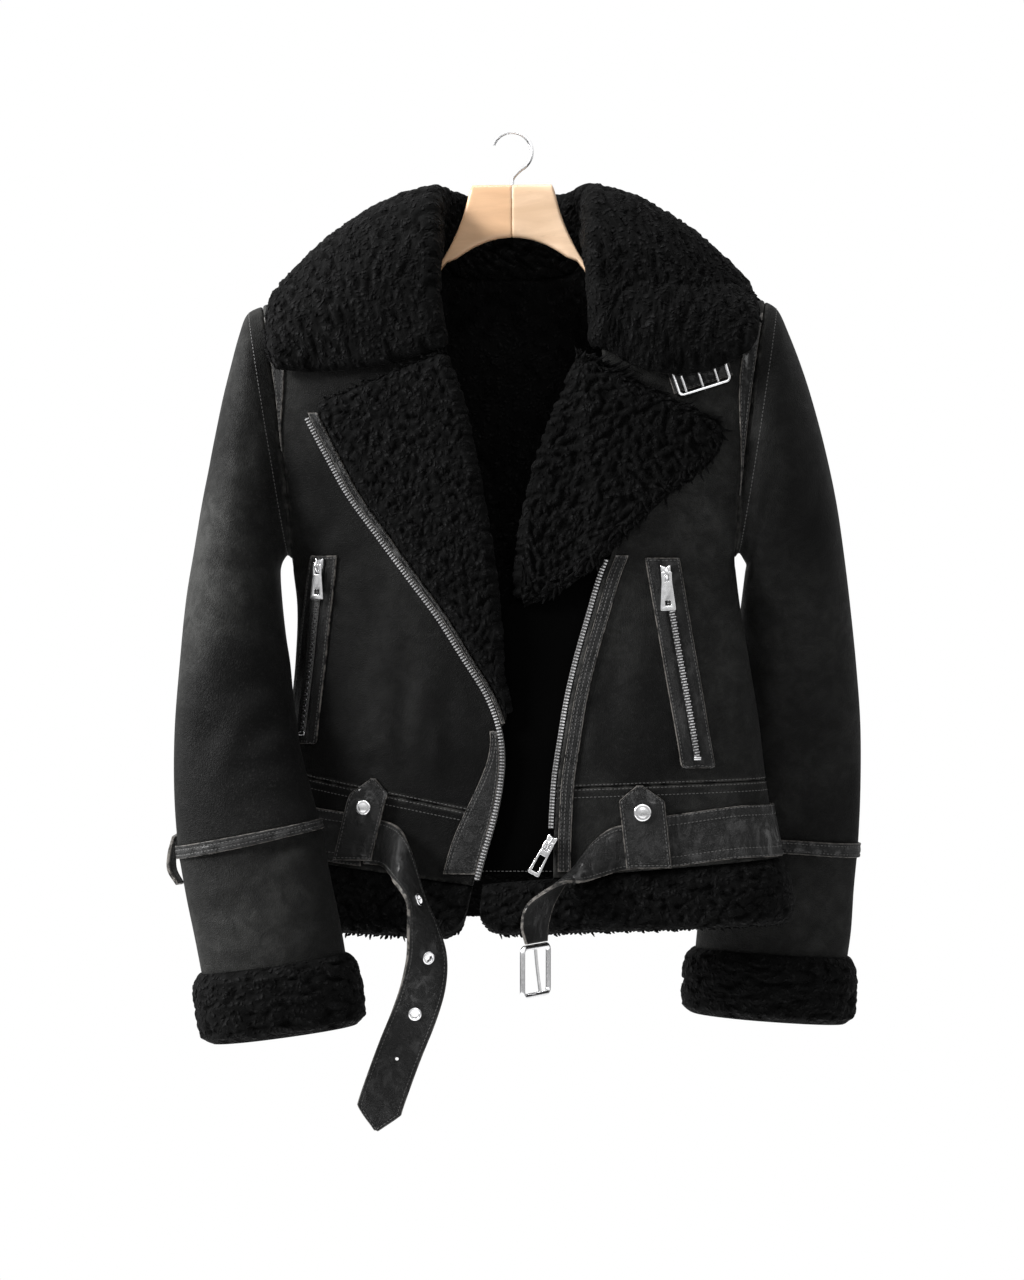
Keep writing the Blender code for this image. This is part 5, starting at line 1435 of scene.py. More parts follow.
def collar_base(rows, columns_fall):
    """The collar's leather side: stand, fold and fall, from the table of stations."""
    stations = COLLAR["left"] + [NAPE] + COLLAR["right"][::-1]
    knots = np.arange(len(stations), dtype=float)
    rough = np.linspace(0, knots[-1], 400)

    def line_of(part, at):
        table = np.stack([column(stations, f"{part}_{axis}") for axis in "xyz"], axis=-1)
        return by_columns(smooth, at, knots, table)

    far = run_lengths(line_of("edge", rough)[:, None], 0)[:, 0]
    far = 0.75 * far / far[-1] + 0.25 * rough / rough[-1]
    at = np.interp(shares(rows, 800), far, rough)
    foot, fold, edge = (line_of(part, at) for part in ("foot", "fold", "edge"))
    lift = smooth(at, knots, column(stations, "lift"))[:, None]
    away = edge - fold
    flat, up = unit(away), unit(fold - foot)
    coarse = [
        foot, foot + 0.5 * (fold - foot), fold - 2.0 * up, fold + 0.8 * flat + 0.5 * up,
        fold + 3.0 * flat,
    ]
    for share in (0.18, 0.38, 0.6, 0.8, 1.0):
        bulge = 4 * share * (1 - share) * lift
        raised = np.concatenate([np.zeros_like(lift), -0.45 * bulge, 0.9 * bulge], axis=-1)
        raised[:, 1] *= np.clip(1 - at / 4, 0, 1) + np.clip(1 - (knots[-1] - at) / 4, 0, 1)
        coarse.append(fold + 3.0 * flat + share * (away - 3.0 * flat) + raised)
    stand = np.linspace(0, 4, COLLAR_STAND + 1)[:-1]
    places = np.concatenate([stand, 4 + 5 * shares(columns_fall, 160)])
    base = between(np.stack(coarse), places).swapaxes(0, 1)
    fall = base[:, COLLAR_STAND:]
    buckle_side = step(fall[..., 0], 90, 125) * step(-fall[..., 1], 30, 50)
    base[:, COLLAR_STAND:] = clear_of_body(fall, COLLAR_CLEAR + BUCKLE_ROOM * buckle_side)
    return evened(base, 6)


def evened(grid, passes):
    """The grid with each row's points spread evenly along it, then softened."""
    far = run_lengths(grid, 1)
    even = np.linspace(0, 1, grid.shape[1])
    grid = np.stack([
        by_columns(np.interp, even, run / run[-1], line) for run, line in zip(far, grid)
    ])
    for _ in range(passes):
        grid[:, 1:-1] = 0.25 * grid[:, :-2] + 0.5 * grid[:, 1:-1] + 0.25 * grid[:, 2:]
    return grid


def make_collar():
    """The collar's wool on its folded skin, with softened normals so that the fold stays round."""
    base = collar_base(232, 72)
    normal = -grid_normals(base)
    for _ in range(2):
        padded = np.concatenate([normal[:, :1], normal, normal[:, -1:]], axis=1)
        normal = unit(padded[:, :-2] + padded[:, 1:-1] + padded[:, 2:])
    curl = LONG_CURL._replace(cell=7.2, slim=0.5)
    return folded_wool("collar", base, normal, FUR + 0.4, curl, 41, deep=4.6)


# ---------------------------------------------------------------- sleeves
SLEEVE_POWER = 0.92     # a sleeve ring is an ellipse whose cosine and sine are raised to this


def armhole_loop(sign, around):
    """The armhole's loop just off the torso, front half then back half, with its normals."""
    angle = turns(around)
    z = (TIP_Z + UNDERARM_Z) / 2 + (TIP_Z - UNDERARM_Z) / 2 * np.cos(angle)
    side = np.where(np.sin(angle) >= 0, -1.0, 1.0)
    points, normal = body(sign * edge_x(ARMHOLE, z), z, side)
    along = np.roll(points, -1, axis=0) - np.roll(points, 1, axis=0)
    away = np.cross(along, normal)
    away = unit(away * np.sign(away[around // 4, 0]) * sign)
    return points + (SEAM + 0.5) * away, normal


def sleeve_form(side_name, places, around=112):
    """Outer points and unit normals of the sleeve at fractional rings of its table; each ring is
    a slightly squared ellipse, and the first one is the armhole's own loop."""
    sign = -1 if side_name == "left" else 1
    first, first_normal = armhole_loop(sign, around)
    angle = turns(around)
    across, deep = (np.sign(v) * np.abs(v) ** SLEEVE_POWER for v in (np.cos(angle), np.sin(angle)))
    rings = [first]
    for row in SLEEVE[side_name]:
        outer = np.array([row.outer_x, 0, row.outer_z], float)
        inner = np.array([row.inner_x, 0, row.inner_z], float)
        ring = (outer + inner) / 2 + across[:, None] * (outer - inner) / 2
        ring[:, 1] = row.middle - row.half * deep
        rings.append(ring)
    points = between(np.stack(rings), places)
    normal = grid_normals(points, ring=True) * sign
    normal[0] = np.where(places[0] == 0, first_normal, normal[0])
    x, _, z = np.moveaxis(points, -1, 0)
    facing = step(-normal[..., 1], 0.0, 0.45)
    behind = step(normal[..., 1], 0.0, 0.45)
    calm = step(places, 0.3, 2.2)[:, None]
    table = CREASES["sleeve_" + side_name]
    relief = calm * (facing * creased(x, z, table) + behind * creased(x + 14, z + 22, table))
    return points + relief[..., None] * normal, normal


def make_sleeve(side_name):
    """The sleeve above and below its elbow seam; a row of stitches goes round its head."""
    cut = ELBOW + 1
    last = len(SLEEVE[side_name])
    found = []
    for label, low, high, rows in (("upper", 0.0, cut, 80), ("lower", cut + 0.035, last, 36)):
        places = low + (high - low) * shares(rows, 90 * (high - low) / 3)
        points, normal = sleeve_form(side_name, places)
        name = f"sleeve_{side_name}_{label}"
        inner = points - HIDE * normal
        made = wall(name + "_hide", points, inner, SHEARLING, ring=True, cloth="hung")
        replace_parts(made.object, name)
        found.append(made)
    return [row_line(found[0], 8)]


def make_elbow_band(side_name):
    """A leather ring over the elbow seam, with a line of stitches near each border."""
    inset = 3.2
    name = "elbow_band_" + side_name
    points, normal = sleeve_form(side_name, ELBOW + 1 + (-0.12 + 0.62 * shares(12, 19)))
    band = wall(name + "_leather", points + (REST + SKIN) * normal, points + REST * normal,
                "leather_black", ring=True, groove=(inset, 0.6), cloth="hung")
    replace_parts(band.object, name)
    down = run_lengths(band.outer, 0).mean(axis=1)
    rows = [int(np.argmin(np.abs(down - target))) for target in (inset, down[-1] - inset)]
    return [row_line(band, row) for row in rows]


# Cuff rows: place along the sleeve in its last rings, and how far the wool stands out.
CUFF = [(-1.25, 1.0), (-1.0, 7.0), (-0.65, 9.0), (-0.3, 9.5), (0.0, 8.0), (0.14, 2.0)]
CUFF_AROUND = 204


def make_cuff(side_name, seed):
    """The turned-back wool cuff: rows along the sleeve's end, swelling as the table says."""
    last = len(SLEEVE[side_name])
    place = shares(42, 56) * (CUFF[-1][0] - CUFF[0][0]) + CUFF[0][0]
    swell = np.interp(place, [row[0] for row in CUFF], [row[1] for row in CUFF])
    places = np.append(last + place[place <= 0], last)
    points, normal = sleeve_form(side_name, places, CUFF_AROUND)
    rings, normals = sleeve_form(side_name, np.array([last - 0.4, last - 0.2, last]), CUFF_AROUND)
    beyond = place[place > 0][:, None, None] * (rings[2] - rings[0]) / 0.4 + rings[2]
    points = np.concatenate([points[:-1], beyond])
    normal = np.concatenate([normal[:-1], np.repeat(normals[1:2], len(beyond), axis=0)])
    around_u = np.linspace(0, 210, CUFF_AROUND + 1)[:-1][None, :] * np.ones((len(place), 1))
    name = "cuff_" + side_name
    made = fleece(name + "_wool", points + REST * normal, normal, (1.5 + swell + 1.0)[:, None],
                  TIGHT_CURL, seed, ring=True, deep=4.6, roll=7.0, around_u=around_u)
    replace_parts(made.object, name)


# ---------------------------------------------------------------- leather strips and zips
def beside(name, edges, z, near, far, low, high, columns, finish="leather_black", **options):
    """A strip beside a named line, between two distances from it in x."""
    x = edge_x(edges, z)
    near, far = np.broadcast_to(near, z.shape), np.broadcast_to(far, z.shape)
    share = shares(columns, float(np.abs(far - near).max()), border=THIN_BORDER)
    grid = (x + near)[:, None] * (1 - share) + (x + far)[:, None] * share
    return on_torso(name, grid, repeat_columns(z, share), -1, low, high, finish, **options)


def make_armhole_strips():
    """A strip along the front of each armhole, tapering to its foot."""
    lines = []
    for side_name, sign, foot in (("left", -1, -274), ("right", 1, -313)):
        z = np.concatenate([[-159, -167], np.linspace(-176, foot, 60)])
        width = 12.0 * (1 - step(-z, -0.45 * foot + 60, -foot) * 0.97)
        outside = sign * (edge_x(ARMHOLE, z) - 0.8)
        x, z = ruled((outside - sign * width, z), (outside, z), shares(9, 12, border=THIN_BORDER))
        lines += sewn_leather("armhole_strip_" + side_name, x, z, (2.4, 0.6), ("first", "last"))
    return lines


CHAIN = 4.5             # width of the closed teeth
TOOTH_WIDE, TOOTH_HIGH = 4.2, 1.5
POCKET_TOOTH = (2.4, 4.9, 1.3)          # pitch, width and height
POCKET_TAPE = REST + SKIN + 0.6         # the pocket tape's face, out from the torso


def sewn_leather(node, x, z, groove, borders, side=-1, raised=0.0, lip=0.0):
    """A leather piece on the torso for a node, and the stitch lines in its groove."""
    made = on_torso(node + "_leather", x, z, side, REST + raised, REST + raised + SKIN + lip,
                    "leather_black", groove=groove, cloth="hung")
    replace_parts(made.object, node)
    return border_lines(made, groove[0], *borders)


def line_on_torso(edges, z, shift, out):
    """A named line, shifted in x, at a distance from the torso, with its normals."""
    return body(edge_x(edges, z) + shift, z, -1, out)


def make_front_zips():
    """The two halves of the front zip with the leather strips beside them."""
    tooth = (of_size("tooth_pitch"), TOOTH_WIDE, TOOTH_HIGH)
    z = np.linspace(-246, -638, 150)
    tape = beside("zip_tape_left", ZIP_LEFT, z, 0.4, CHAIN, REST, REST + 1.0, 4, "tape_black")
    teeth("zip_teeth_left", *line_on_torso(ZIP_LEFT, z, 1.9, REST + 1.0), 1, *tooth)
    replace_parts(tape.object, "zip_chain_left")
    z = np.linspace(-242, -506, 120)
    far = STRIP_LEFT * (1 - 0.35 * np.linspace(0, 1, 120)) - 0.6
    strip = beside("lapel_border_left", ZIP_LEFT, z, CHAIN + 0.5, far, REST, REST + 3.4, 9,
                   groove=(2.6, 0.8), cloth="hung")
    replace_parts(strip.object, "lapel_strip_left")
    z = np.linspace(-512, -633, 60)
    wide = 6.0 + 22.0 * step(-z, 505, 610)
    facing = beside("facing_left", ZIP_LEFT, z, -0.4, -wide, REST, REST + SKIN, 14,
                    groove=(2.6, 0.65), cloth="hung")
    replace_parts(facing.object, "front_facing_left")
    z = np.linspace(-367, -594, 100)
    tape = beside("zip_tape_right", ZIP_RIGHT, z, -0.5 - CHAIN, -0.5, -3.0, -1.2, 4, "tape_black")
    teeth("zip_teeth_right", *line_on_torso(ZIP_RIGHT, z, -2.6, -1.2), -1, *tooth)
    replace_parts(tape.object, "zip_chain_right")
    z = np.linspace(-364, -630, 110)
    border = beside("zip_border_right", ZIP_RIGHT, z, 4.0, 15.0, REST, REST + SKIN, 9,
                    groove=(2.4, 0.6), cloth="hung")
    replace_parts(border.object, "zip_strip_right")
    return sum((border_lines(*row) for row in (
        (strip, 2.6, "last"), (strip, 1.6, "first"), (facing, 2.6, "last", "first"),
        (facing, 5.4, "last"), (border, 2.4, "first", "last"), (border, 5.4, "first"),
    )), [])


Pocket = namedtuple("Pocket", "top_x top_z foot_x foot_z half slider_z tab_length")
POCKETS = {
    "left": Pocket(-160, -363, -178, -524, 12.0, -372, 21.5),
    "right": Pocket(126, -366, 157, -543, 14.5, -379, 24.5),
}


def pocket_line(pocket, z):
    return smooth(-z, [-pocket.top_z, -pocket.foot_z], [pocket.top_x, pocket.foot_x])


def welt_grid(pocket, corner=3.0):
    """x, z of a pocket's slanted welt, whose foot corners are rounded."""
    tall = pocket.top_z - pocket.foot_z
    z = pocket.top_z - tall * shares(64, tall, border=corner)
    low = np.clip((z - pocket.foot_z) / corner, 0, 1)
    high = np.clip((pocket.top_z - z) / corner, 0, 1)
    keep = np.minimum(np.sqrt(1 - (1 - low) ** 2), np.sqrt(1 - (1 - high) ** 2) * 0.12 + 0.88)
    wide = pocket.half - corner * (1 - np.clip(keep, 0.03, 1))
    share = shares(17, 2 * pocket.half, border=THIN_BORDER) * 2 - 1
    return pocket_line(pocket, z)[:, None] + wide[:, None] * share, repeat_columns(z, share)


def make_pockets():
    """Each pocket's welt with its lip, its zip tape, the closed teeth and the stop at the foot."""
    lines = []
    for side_name, pocket in POCKETS.items():
        x, z = welt_grid(pocket)
        x_share = np.abs(x - pocket_line(pocket, z)) / pocket.half
        lip = 0.7 * np.exp(-(((x_share - 0.42) / 0.16) ** 2))
        lip = lip - 0.9 * np.exp(-((x_share / 0.26) ** 2))
        lines += sewn_leather("pocket_welt_" + side_name, x, z, (2.6, 0.4),
                              ("first", "last", "foot", "top"), lip=lip)
        z = np.linspace(pocket.slider_z - 12, pocket.foot_z + 10, 70)
        share = shares(4, CHAIN, border=0.8) * 2 - 1
        x = pocket_line(pocket, z)
        tape = on_torso("pocket_tape_" + side_name, x[:, None] + CHAIN / 2 * share,
                        repeat_columns(z, share), -1, REST + SKIN + 0.1, POCKET_TAPE,
                        "tape_black")
        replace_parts(tape.object, "pocket_chain_" + side_name)
        points, normal = body(x, z, -1, POCKET_TAPE)
        teeth("pocket_teeth_" + side_name, points, normal, 1, *POCKET_TOOTH, both=True)
        stop_at, out = body(x[-1:], z[-1:] - 1.5, -1, REST + SKIN + 1.2)
        bar("pocket_stop_" + side_name, stop_at[0], out[0], (6.2, 2.2, 2.8))
    return lines


def bar(name, centre, out, size):
    """A small block with bevelled edges: across, deep, tall in mm; deep lies along out."""
    out = Vector(out).normalized()
    up = Vector((0, 0, 1))
    up = (up - up.dot(out) * out).normalized()
    turn = Matrix((up.cross(out), out, up)).transposed()
    mesh = bpy.data.meshes.new(name)
    work = bmesh.new()
    bmesh.ops.create_cube(work, size=1)
    bmesh.ops.scale(work, vec=Vector(size) * MM, verts=work.verts)
    bmesh.ops.bevel(work, geom=work.edges[:], offset=0.22 * min(size) * MM, segments=3,
                    affect="EDGES", profile=0.5)
    place = Matrix.Translation(Vector(centre) * MM) @ turn.to_4x4()
    bmesh.ops.transform(work, matrix=place, verts=work.verts)
    work.to_mesh(mesh)
    work.free()
    return add_piece(name, mesh, "metal_silver", crisp=60.0)


# ---------------------------------------------------------------- sliders and pull tabs
SLIDER_WIDE, SLIDER_TALL, SLIDER_DEEP = 8.5, 14.0, 4.0
BRIDGE_WIRE = 1.05
PIN_OUT = 1.7           # the tab's turning axis, out from the slider's face
BRIDGE_OUT = 4.2
TAB_DEEP = 1.4
FRONT_SLIDER_Z, FRONT_SLIDER_TILT = -603.0, math.radians(28)


def slider_frame(x, z, out, tilt):
    """Place on the torso without its creases: X across the zip, Y into the body, Z up the zip."""
    place, normal = body(x, z, -1, out, drape=0.0)
    inward = Vector(-normal)
    up = Vector((0, 0, 1))
    up = (up - up.dot(inward) * inward).normalized()
    across = inward.cross(up).normalized()
    turn = Matrix.Rotation(tilt, 3, inward)
    up, across = turn @ up, turn @ across
    frame = Matrix((across, inward, up)).transposed().to_4x4()
    frame.translation = Vector(place) * MM
    return frame


def evaluated_mesh(shaped):
    """An object's mesh with its modifiers or its curve worked out."""
    ready = shaped.evaluated_get(bpy.context.evaluated_depsgraph_get())
    return bpy.data.meshes.new_from_object(ready)


def plate(name, loops, deep, bevel, place, rides="jacket"):
    """A flat metal plate within closed outlines, the first its border and the rest its holes,
    with rounded edges; place turns its plane, x across and y up, into the frame."""
    data = bpy.data.curves.new(name, "CURVE")
    data.dimensions = "2D"
    data.fill_mode = "BOTH"
    data.extrude = (deep / 2 - bevel) * MM
    data.bevel_depth = bevel * MM
    data.bevel_resolution = 3
    data.offset = -bevel * MM
    for loop in loops:
        spline = data.splines.new("POLY")
        spline.points.add(len(loop) - 1)
        for point, (x, y) in zip(spline.points, loop):
            point.co = (x * MM, y * MM, 0, 1)
        spline.use_cyclic_u = True
    shaped = new_object(name + "_outline", data)
    mesh = evaluated_mesh(shaped)
    bpy.data.objects.remove(shaped)
    mesh.transform(place)
    work = bmesh.new()
    work.from_mesh(mesh)
    bmesh.ops.remove_doubles(work, verts=work.verts, dist=1e-6)
    bmesh.ops.recalc_face_normals(work, faces=work.faces)
    work.to_mesh(mesh)
    work.free()
    mesh.materials.clear()
    return add_piece(name, mesh, "metal_silver", rides)


def rounded(points, radius, steps=4):
    """A closed outline with each corner cut by a short arc of about this radius."""
    points = np.asarray(points, float)
    def toward(shift):
        way = np.roll(points, shift, axis=0) - points
        return points + np.minimum(radius / np.linalg.norm(way, axis=-1), 0.45)[:, None] * way

    start, end = toward(1), toward(-1)
    t = np.linspace(0, 1, steps + 1)[None, :, None]
    arc = (1 - t) ** 2 * start[:, None] + 2 * t * (1 - t) * points[:, None] + t**2 * end[:, None]
    return [tuple(p) for p in arc.reshape(-1, 2)]


def make_slider(name, rides, x, z, out, tilt, tab_size, hole):
    """A slider: shaped block with two shoulders, bridge, and its pull tab on the bridge's bar."""
    place = slider_frame(x, z, out + SLIDER_DEEP / 2, tilt)
    flat = place @ Matrix.Rotation(math.pi / 2, 4, "X")
    wide, tall = SLIDER_WIDE / 2, SLIDER_TALL / 2
    outline = rounded([
        (-wide, tall), (-0.25 * wide, tall - 1.6), (0.25 * wide, tall - 1.6), (wide, tall),
        (wide, 0.2 * tall), (0.62 * wide, -tall), (-0.62 * wide, -tall), (-wide, 0.2 * tall),
    ], 1.5)
    block = plate("slider_" + name + "_block", [outline], SLIDER_DEEP, 0.8, flat)
    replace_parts(block, "slider_" + name)
    face = -SLIDER_DEEP / 2
    path = smooth_line([
        (0, face + 0.9, 5.2), (0, face - 0.55 * BRIDGE_OUT, 4.8), (0, face - BRIDGE_OUT, 2.6),
        (0, face - BRIDGE_OUT, -2.6), (0, face - 0.55 * BRIDGE_OUT, -4.8), (0, face + 0.9, -5.2),
    ], 30)
    turn = np.array(place.to_3x3())
    line = path @ turn.T + np.array(place.translation) / MM
    wire("bridge_" + name, line, BRIDGE_WIRE, turn[:, 0])
    top, foot, length = tab_size
    high, low, half = hole
    outer = rounded([
        (-top / 2, 1.2), (top / 2, 1.2), (top / 2, -8.0), (foot / 2, 1.0 - length),
        (-foot / 2, 1.0 - length), (-top / 2, -8.0),
    ], 1.6)
    window = rounded([(-2.1, -1.0), (2.1, -1.0), (2.1, -7.2), (-2.1, -7.2)], 0.7)
    lower = rounded([(-half, high), (half, high), (half, low), (-half, low)], 0.8)
    pivot = place @ Matrix.Translation(Vector((0, face - PIN_OUT, 0)) * MM)
    tab = plate("pull_" + name, [outer, window, lower], TAB_DEEP, 0.35,
                pivot @ Matrix.Rotation(math.pi / 2, 4, "X"), rides)
    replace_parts(tab, "pull_tab_" + name)


def make_sliders():
    """The sliders and pull tabs of both pockets and of the front zip."""
    for side_name, pocket in POCKETS.items():
        x = float(pocket_line(pocket, np.float64(pocket.slider_z)))
        lean = math.atan2(pocket.foot_x - pocket.top_x, pocket.top_z - pocket.foot_z)
        size = (9.0, 13.5, pocket.tab_length + 8)
        hole = (-pocket.tab_length + 1.5, -pocket.tab_length - 3, 2.4)
        make_slider("pocket_" + side_name, "pocket_tab_" + side_name, x, pocket.slider_z,
                    POCKET_TAPE, -lean * 0.3, size, hole)
    x = float(edge_x(ZIP_RIGHT, FRONT_SLIDER_Z)) - 0.5 - CHAIN / 2
    make_slider("front", "front_tab", x, FRONT_SLIDER_Z - 3, 1.2, FRONT_SLIDER_TILT,
                (8.5, 11.0, 31.0), (-12, -27, 2.8))


# ---------------------------------------------------------------- belt
BAND_HIGH = 44.0
BAND_ENDS = {"left": -128.0, "right": 108.0}
BAND_FOOT, BAND_SAG = -619.0, 9.0   # the band's lower edge, and how much lower it hangs in front


def side_scale(z, x):
    """Keeps a band's columns at the same share of the torso's width at every height."""
    down = -column(TORSO, "z")
    left, right = column(TORSO, "left"), column(TORSO, "right")
    wide, base = (
        np.where(x < 0, smooth(at, down, left), smooth(at, down, right))
        for at in (-z, 1 - BAND_FOOT)
    )
    near_side = step(np.abs(x) / base, 0.75, 1.0)
    return 1 + near_side * (wide / base - 1)


Span = namedtuple("Span", "x y z wide_x wide_y wide_z width")
BELT_TAIL = [
    Span(-125, None, -606, 0.05, 0, 1, 38), Span(-108, None, -608, 0.12, 0, 1, 38),
    Span(-97, -76, -615, 0.3, 0.4, 0.86, 38), Span(-87, -88, -633, 0.38, 0.86, 0.34, 38),
    Span(-79, -96, -652, 0.34, 0.93, 0.08, 38), Span(-73, -96, -677, 0.66, 0.75, 0, 38),
    Span(-70.5, -93, -700, 0.86, 0.5, -0.04, 38), Span(-74, -90, -725, 0.96, 0.2, -0.14, 38),
    Span(-82, -88, -750, 0.95, 0.05, -0.27, 38), Span(-93, -87, -777, 0.93, 0, -0.34, 38),
    Span(-103, -87, -804, 0.95, 0, -0.31, 38), Span(-111, -88, -828, 0.97, 0, -0.24, 38),
    Span(-113.5, -88.5, -845, 0.97, 0, -0.24, 4),
]
BUCKLE_STRAP = [
    Span(105, None, -609, 0, 0, 1, 38), Span(88, None, -611, -0.04, 0.02, 1, 38),
    Span(68, -78, -619, 0.16, 0.4, 0.9, 38), Span(47, -89, -631, 0.3, 0.9, 0.28, 38),
    Span(25, -98, -652, 0.6, 0.8, 0.05, 38), Span(18.5, -101, -671, 0.58, 0.81, 0, 38),
    Span(19.5, -102, -687, 0.45, 0.89, 0, 38),
]


def laid_on_body(row):
    """Middle and direction of a span that lies on the torso, clear of it over its whole width."""
    reach = row.width / 2 * np.array([row.wide_x, row.wide_z]) / math.hypot(row.wide_x, row.wide_z)
    share = np.array([1, 0.5, 0, -0.5, -1])
    points = body(row.x + share * reach[0], row.z + share * reach[1], -1, REST + BELT / 2)[0]
    line = (points[0, 1] + points[-1, 1]) / 2 + (points[0, 1] - points[-1, 1]) / 2 * share
    middle = (points[0] + points[-1]) / 2
    middle[1] += min(0.0, float((points[:, 1] - line).min())) - 1.5
    return middle, points[0] - points[-1]


def make_belt_band():
    """The belt round the waist, columns spread along the front, back and front again."""
    right_end, left_end = float(side_x(BAND_FOOT - 1, 1)), float(side_x(BAND_FOOT - 1, -1))
    front = np.sin(0.5 * math.pi * np.linspace(0, 1, 52)) * 0.992
    back = np.sin(0.5 * math.pi * np.linspace(1, -1, 96))
    x = np.concatenate([
        BAND_ENDS["right"] + front * (right_end - BAND_ENDS["right"]),
        np.where(back > 0, back * right_end, -back * left_end),
        (BAND_ENDS["left"] + front * (left_end - BAND_ENDS["left"]))[::-1],
    ])
    side = np.repeat([-1.0, 1.0, -1.0], [len(front), len(back), len(front)])
    foot = BAND_FOOT - np.where(side > 0, 0, BAND_SAG * (1 - step(np.abs(x), 108, 205)))
    share = shares(16, BAND_HIGH, border=BELT_BORDER)[:, None]
    z = foot + BAND_HIGH * (1 - share)
    band = on_torso("belt_band_leather", x * side_scale(z, x), z, side[None, :], REST, REST + BELT,
                    "leather_black", groove=(9.2, 0.8), cloth="hung")
    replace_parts(band.object, "belt_band")
    return border_lines(band, 9.2, "top", "foot") + border_lines(band, 2.2, "top", "foot")


def strap_lines(spans, count):
    """Middle, direction across, width and normal along a strap, at many even places."""
    middle = np.array([[row.x, row.y or 0, row.z] for row in spans], float)
    wide = np.stack([column(spans, "wide_" + axis) for axis in "xyz"], axis=-1)
    for number, row in enumerate(spans):
        if row.y is None:
            middle[number], wide[number] = laid_on_body(row)
    knots = np.arange(len(spans), dtype=float)
    at = knots[-1] * shares(count, 330, border=BELT_BORDER)
    middle = by_columns(smooth, at, knots, middle)
    wide = unit(by_columns(smooth, at, knots, unit(wide)))
    width = np.interp(at, knots, column(spans, "width"))
    normal = unit(np.cross(np.gradient(middle, axis=0), wide))
    return at, middle, wide, width, normal * np.sign(-normal[0, 1])


def strap(name, spans, count, groove, cupped=0.0):
    """A leather strap lofted through spans; it cups a little and has grooves along its borders."""
    _, middle, wide, width, normal = strap_lines(spans, count)
    share = 0.5 - shares(15, 38, border=BELT_BORDER)
    cup = cupped * (4 * share**2)[None, :, None] * normal[:, None]
    points = middle[:, None] + share[None, :, None] * (width[:, None] * wide)[:, None] - cup
    out = BELT / 2 * normal[:, None]
    return wall(name, points + out, points - out, "leather_black", groove=groove)


EYELETS = [4.0, 6.0, 7.9]       # places along the tail's spans
PUNCHED = 9.3                   # place of the plain hole
EYELET_HOLE, PLAIN_HOLE = 3.5, 1.5


def tail_place(place):
    """Centre, across, along and outward directions at a place along the belt's tail."""
    at, middle, wide, _, normal = strap_lines(BELT_TAIL, 120)
    centre, across, out = (
        by_columns(np.interp, place, at, line) for line in (middle, wide, normal)
    )
    across, out = unit(across), unit(out)
    return centre, across, np.cross(out, across), out


def ring_round(name, place, profile, around=36):
    """A metal ring: a closed profile of (radius, height) turned round a place's outward way."""
    centre, across, along, out = place
    angle = turns(around)
    radius, height = np.asarray(profile, float).T
    spoke = np.cos(angle)[:, None] * across + np.sin(angle)[:, None] * along
    rings = centre + radius[None, :, None] * spoke[:, None] + height[None, :, None] * out
    mesh = new_mesh(name, rings, ring_quads(around, len(profile), joined=True))
    return add_piece(name, mesh, "metal_silver", crisp=50.0)


EYELET_PROFILE = [
    (3.3, -2.2), (4.2, -2.5), (5.2, -2.2), (5.4, -1.7), (3.7, -1.5), (3.6, 1.5), (5.5, 1.7),
    (5.4, 2.3), (4.6, 2.75), (3.8, 2.6), (3.3, 2.1),
]


def make_belt_ends():
    """The belt's hanging tail with its holes and eyelets, and the strap of the buckle."""
    tail = strap("belt_tail_leather", BELT_TAIL, 150, (4.2, 0.7), cupped=0.8)
    for place in EYELETS + [PUNCHED]:
        punch(tail.object, tail_place(place), PLAIN_HOLE if place == PUNCHED else EYELET_HOLE)
    for number, place in enumerate(EYELETS, 1):
        name = f"eyelet_{number}"
        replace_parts(ring_round(name + "_ring", tail_place(place), EYELET_PROFILE), name)
    declare_sheet(tail.outer)
    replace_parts(tail.object, "belt_tail")
    buckle = strap("buckle_strap_leather", BUCKLE_STRAP, 90, (4.2, 0.7), cupped=0.6)
    declare_sheet(buckle.outer)
    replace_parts(buckle.object, "belt_buckle_strap")
    return border_lines(tail, 4.2, "first", "last") + border_lines(buckle, 4.2, "first", "last")


def disc(name, radius, deep, segments, place):
    """A flat cylinder's mesh, in metres."""
    mesh = bpy.data.meshes.new(name)
    work = bmesh.new()
    bmesh.ops.create_cone(work, cap_ends=True, segments=segments, radius1=radius, radius2=radius,
                          depth=deep, matrix=place)
    work.to_mesh(mesh)
    work.free()
    return mesh


def punch(target, place, radius):
    """Cuts a round hole through the target at a place on it."""
    centre, across, along, out = place
    turn = Matrix((Vector(across), Vector(along), Vector(out))).transposed().to_4x4()
    turn.translation = Vector(centre) * MM
    cutter = new_object("punch", disc("punch", radius * MM, 9 * MM, 28, turn))
    cut = target.modifiers.new("Cut", "BOOLEAN")
    cut.operation = "DIFFERENCE"
    cut.solver = "EXACT"
    cut.object = cutter
    bpy.context.view_layer.update()
    shaped = evaluated_mesh(target)
    target.modifiers.clear()
    target.data = shaped
    bpy.data.objects.remove(cutter)


Loop = namedtuple("Loop", "tip_x tip_z foot_x foot_z width snap_x snap_z snap_wide")
LOOPS = {
    "left": Loop(-117, -551, -134, -622, 32.0, -124, -577, 13.0),
    "right": Loop(107, -556, 115, -627, 38.0, 109, -580, 15.0),
}
OVER_BELT = BELT + 2.0
# A snap's cap: share of its radius, and height.
SNAP_PROFILE = [
    (1, 0), (1, 0.6), (0.93, 1.3), (0.8, 1.75), (0.74, 1.6), (0.55, 2.05), (0.3, 2.3),
]
BACK_LOOPS = {"belt_loop_back_left": -112.0, "belt_loop_back_right": 112.0}


